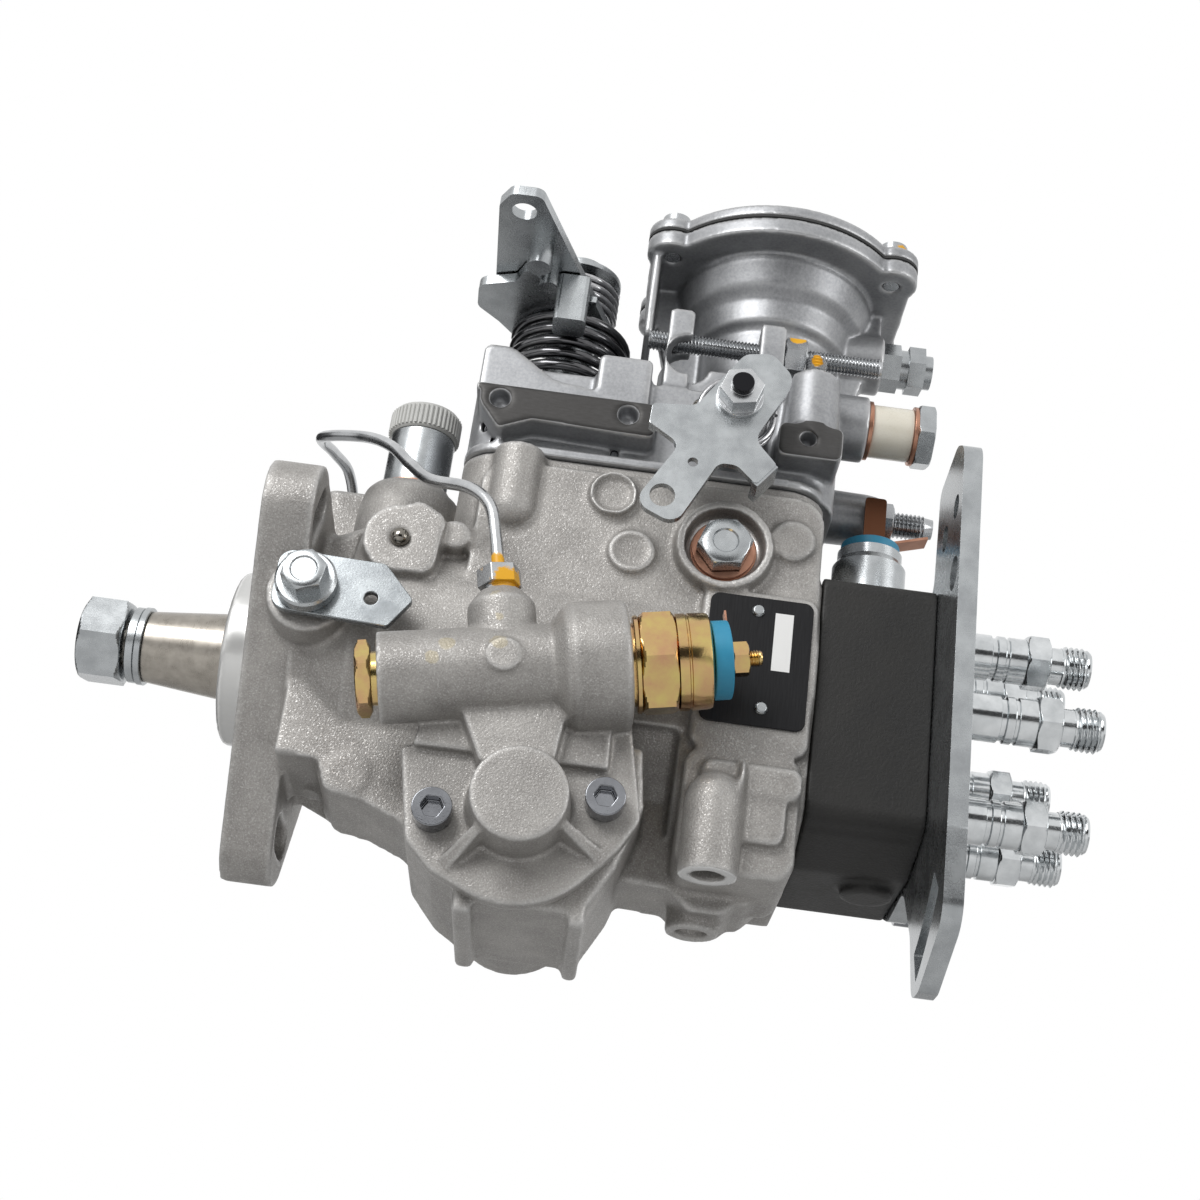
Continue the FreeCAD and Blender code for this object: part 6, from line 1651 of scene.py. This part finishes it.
@dataclass
class Plates:
    """Brackets and levers of sheet steel, the data plate and the small mouldings."""

    widths: Dict[str, float] = field(default_factory=lambda: {"lifting_bracket": 0.45,
        "throttle_lever": 0.5, "nameplate": 0.15, "overflow_sleeve": 0.4, "timing_piston": 0.3})
    bracket: Tuple[float, float] = (181.0, 186.0)
    stop: Tuple[float, float] = (-58.0, -55.8)
    slot_deg: Tuple[int, int] = (228, 242)

    def rear_bracket(self) -> None:
        """The support bracket with its opening, its timing slot and its holes."""
        low, high = self.bracket
        plate = prism(Axis.X, low, high, (-66.5, 60, 7), (-57.5, 65, 8), (-36, 62, 4), (-33, 33, 4),
            (38, 30, 4), (38, -37, 8), (10, -48, 8), (-12, -46, 8), (-25, -62, 10), (-31, -80, 5),
            (-40, -80, 6), (-65.5, -69, 9), (-66.5, -46, 12))
        inner, outer = [], []
        for degree in range(self.slot_deg[0] - 3, self.slot_deg[1] + 4):
            a, b = math.cos(math.radians(degree)), math.sin(math.radians(degree))
            inner.append((75.5 * a, 75.5 * b, 0.0))
            outer.append((84.5 * a, 84.5 * b, 0.0))
        slot = [inner[0][:2] + (4.2,)] + inner[1:-1] + [inner[-1][:2] + (4.2,), outer[-1][:2] + (4.2,)]
        slot += list(reversed(outer[1:-1])) + [outer[0][:2] + (4.2,)]
        cuts = [turned(Axis.X, 0, 0, (low - 1, 37.8), (high + 1, 37.8)),
            prism(Axis.X, low - 1, high + 1, *slot)]
        for y, z, radius in ((-59, 45.5, 3.3), (-45.6, 42.7, 3.6), (-59.5, 25.5, 4.6), (-35, 24.5, 3.2),
                (35, 24.5, 3.2), (-29.5, -37.5, 3.2), (29.5, -37.5, 3.2)):
            cuts.append(turned(Axis.X, y, z, (low - 1, radius), (high + 1, radius)))
        Sheet("rear_bracket", plate, tuple((Change.CUT, cut) for cut in cuts), 0.7).build()

    def stop_lever(self) -> None:
        """The stop lever: a cross of four arms, a bent lip and a small hook."""
        low, high = self.stop
        plate = prism(Axis.Y, low, high, (121.6, 84.7, 4), (129.1, 86.0, 4), (135.8, 79.0, 5),
            (133.0, 72.0, 3), (126.5, 58.5, 4), (133.0, 51.5, 1), (128.0, 44.8, 1), (122.5, 49.8, 4),
            (117.6, 49.8, 3), (108.0, 29.8, 4), (96.4, 34.9, 4), (106.8, 54.0, 3), (98.0, 59.6, 2),
            (98.4, 65.6, 1), (109.9, 66.6, 3))
        lip = prism(Axis.Y, low + 0.2, low + 9, (133.4, 51.0, 0), (128.4, 44.3, 0), (126.8, 45.6, 0),
            (131.7, 52.2, 0))
        hook = prism(Axis.Y, low + 0.2, low + 4, (98.0, 59.6, 0), (98.2, 65.0, 0), (99.8, 65.0, 0),
            (99.8, 58.6, 0))
        changes = [(Change.ADD, lip), (Change.ADD, hook)]
        for x, z, radius in ((110.8, 49.0, 1.4), (103.8, 38.0, 3.4), (121.4, 70.6, 3.5)):
            changes.append((Change.CUT, turned(Axis.Y, x, z, (low - 1, radius), (high + 1, radius))))
        Sheet("stop_lever", plate, tuple(changes)).build()

    def build(self) -> None:
        """Makes the cut sheets and the eased copies."""
        self.rear_bracket()
        self.stop_lever()
        for node, width in self.widths.items():
            eased(node, width, {"lifting_bracket": LIFT_ZINC}.get(node))


@dataclass
class Inside:
    """Every CAD node as it comes, among them the pieces inside the pump, which keep that form."""

    def build(self) -> None:
        """Gives each CAD node the finish of its slot; finer pieces replace some of them later."""
        for name, node in frame["nodes"].items():
            finish = PLUG_BALL if name == "ball_plugs" else FINISHES[slot_of(name)]
            node.data.materials.clear()
            node.data.materials.append(finish.material())
            log.info("%s in its CAD form, %s", name, finish.name)


@dataclass
class Studio:
    """Camera, lamps, pale floor and surroundings. Metres."""

    eye: Point = (0.0945, -0.5015, -0.20715)
    right: Point = (0.99129, -0.05106, 0.12142)
    up: Point = (-0.13156, -0.42895, 0.89370)
    lens: float = 57.83
    middle: Point = (0.09, 0.0, 0.03)
    floor_level: float = -0.24
    floor_half: float = 3.0
    fill: float = 0.40

    def view_point(self, right: float, up: float, ahead: float) -> Vector:
        """A point by the camera's own directions from the object's middle.

        Args:
            right: how far to the camera's right.
            up: how far up.
            ahead: how far away from the camera.

        Returns:
            The point.
        """
        x, y = Vector(self.right), Vector(self.up)
        return Vector(self.middle) + x * right + y * up + y.cross(x) * ahead

    def camera(self) -> None:
        """Puts the camera where the photograph was taken from."""
        data = bpy.data.cameras.new("camera")
        data.lens = self.lens
        data.sensor_width = 36.0
        data.clip_start = 0.01
        camera = bpy.data.objects.new("camera", data)
        x, y = Vector(self.right), Vector(self.up)
        turn = Matrix((x, y, x.cross(y))).transposed()
        camera.matrix_world = Matrix.Translation(self.eye) @ turn.to_4x4()
        bpy.context.scene.collection.objects.link(camera)
        bpy.context.scene.camera = camera

    def lamp(self, name: str, place: Vector, size: float, power: float) -> None:
        """A square soft lamp that looks at the object.

        Args:
            name: its name.
            place: where it stands.
            size: the length of its side.
            power: its power in watts.
        """
        data = bpy.data.lights.new(name, "AREA")
        data.size = size
        data.energy = power
        lamp = bpy.data.objects.new(name, data)
        lamp.location = place
        lamp.rotation_euler = (self.view_point(0, 0, 0) - place).to_track_quat("-Z", "Y").to_euler()
        bpy.context.scene.collection.objects.link(lamp)

    def square(self, name: str, half: float, level: float = 0.0) -> bpy.types.Mesh:
        """A level square mesh.

        Args:
            name: its name.
            half: half the length of its side.
            level: its height.

        Returns:
            The mesh.
        """
        mesh = bpy.data.meshes.new(name)
        corners = [(a * half, b * half, level) for a, b in ((-1, -1), (1, -1), (1, 1), (-1, 1))]
        mesh.from_pydata(corners, [], [(0, 1, 2, 3)])
        return mesh

    def card(self, name: str, place: Vector, size: float) -> None:
        """A dark card that only shows in polished metal.

        Args:
            name: its name.
            place: where it stands, turned to the object.
            size: the length of its side.
        """
        mesh = self.square(name, size / 2)
        card = link(name, mesh)
        turn = (self.view_point(0, 0, 0) - place).to_track_quat("-Z", "Y").to_matrix().to_4x4()
        mesh.transform(Matrix.Translation(place) @ turn)
        mesh.materials.append(CARD_FINISH.material())
        card.visible_camera = False
        card.visible_diffuse = False
        card.visible_shadow = False
        card.visible_transmission = False

    def floor(self) -> None:
        """A wide pale floor below the object, which throws no light up at it."""
        mesh = self.square("floor", self.floor_half, self.floor_level)
        mesh.materials.append(FLOOR_FINISH.material())
        floor = link("floor", mesh)
        floor.visible_diffuse = False

    def world(self) -> None:
        """White surroundings for the camera and for reflections, softer as a light."""
        world = bpy.data.worlds.new("studio")
        world.use_nodes = True
        world.node_tree.nodes.clear()
        tree = Tree(world.node_tree)
        path = tree.node("ShaderNodeLightPath")
        seen = tree.math("MAXIMUM", tree.out(path, "Is Camera Ray"),
            tree.math("MAXIMUM", tree.out(path, "Is Glossy Ray"), tree.out(path, "Is Transmission Ray")))
        white = tree.make("ShaderNodeBackground", None, {"Color": (1, 1, 1, 1), "Strength": 1.0})
        soft = tree.make("ShaderNodeBackground", None, {"Color": (1, 1, 1, 1), "Strength": self.fill})
        mixed = tree.make("ShaderNodeMixShader", None, {0: seen, 1: soft, 2: white})
        tree.node("ShaderNodeOutputWorld", None, {"Surface": mixed})
        bpy.context.scene.world = world

    def build(self) -> None:
        """Sets up the studio."""
        self.camera()
        self.world()
        self.floor()
        self.lamp("key", self.view_point(-0.35, 0.75, -0.45), 0.5, 6.2)
        self.lamp("side", self.view_point(0.8, 0.25, -0.35), 0.4, 1.8)
        self.card("card_low", self.view_point(0.15, -0.75, -0.35), 0.9)
        self.card("card_left", self.view_point(-0.9, -0.1, -0.4), 0.6)
        self.card("card_behind", self.view_point(-0.8, 0.1, 0.5), 0.9)
        self.card("card_front", self.view_point(0.05, 0.30, -1.1), 0.9)
        bpy.context.scene.view_settings.view_transform = "Standard"


def main() -> None:
    """Builds the studio, then dresses each sub-assembly."""
    logging.basicConfig(level=logging.INFO, format="%(name)s: %(message)s")
    Studio().build()
    Inside().build()
    for assembly in (Castings(), Outlets(), Fasteners(), ColdStartValve(), DriveEnd(), Springs(),
            FuelTube(), Inlet(), Plates()):
        assembly.build()
        log.info("%s is dressed", type(assembly).__name__)
    bpy.context.view_layer.update()


if __name__ == "__main__":
    main()
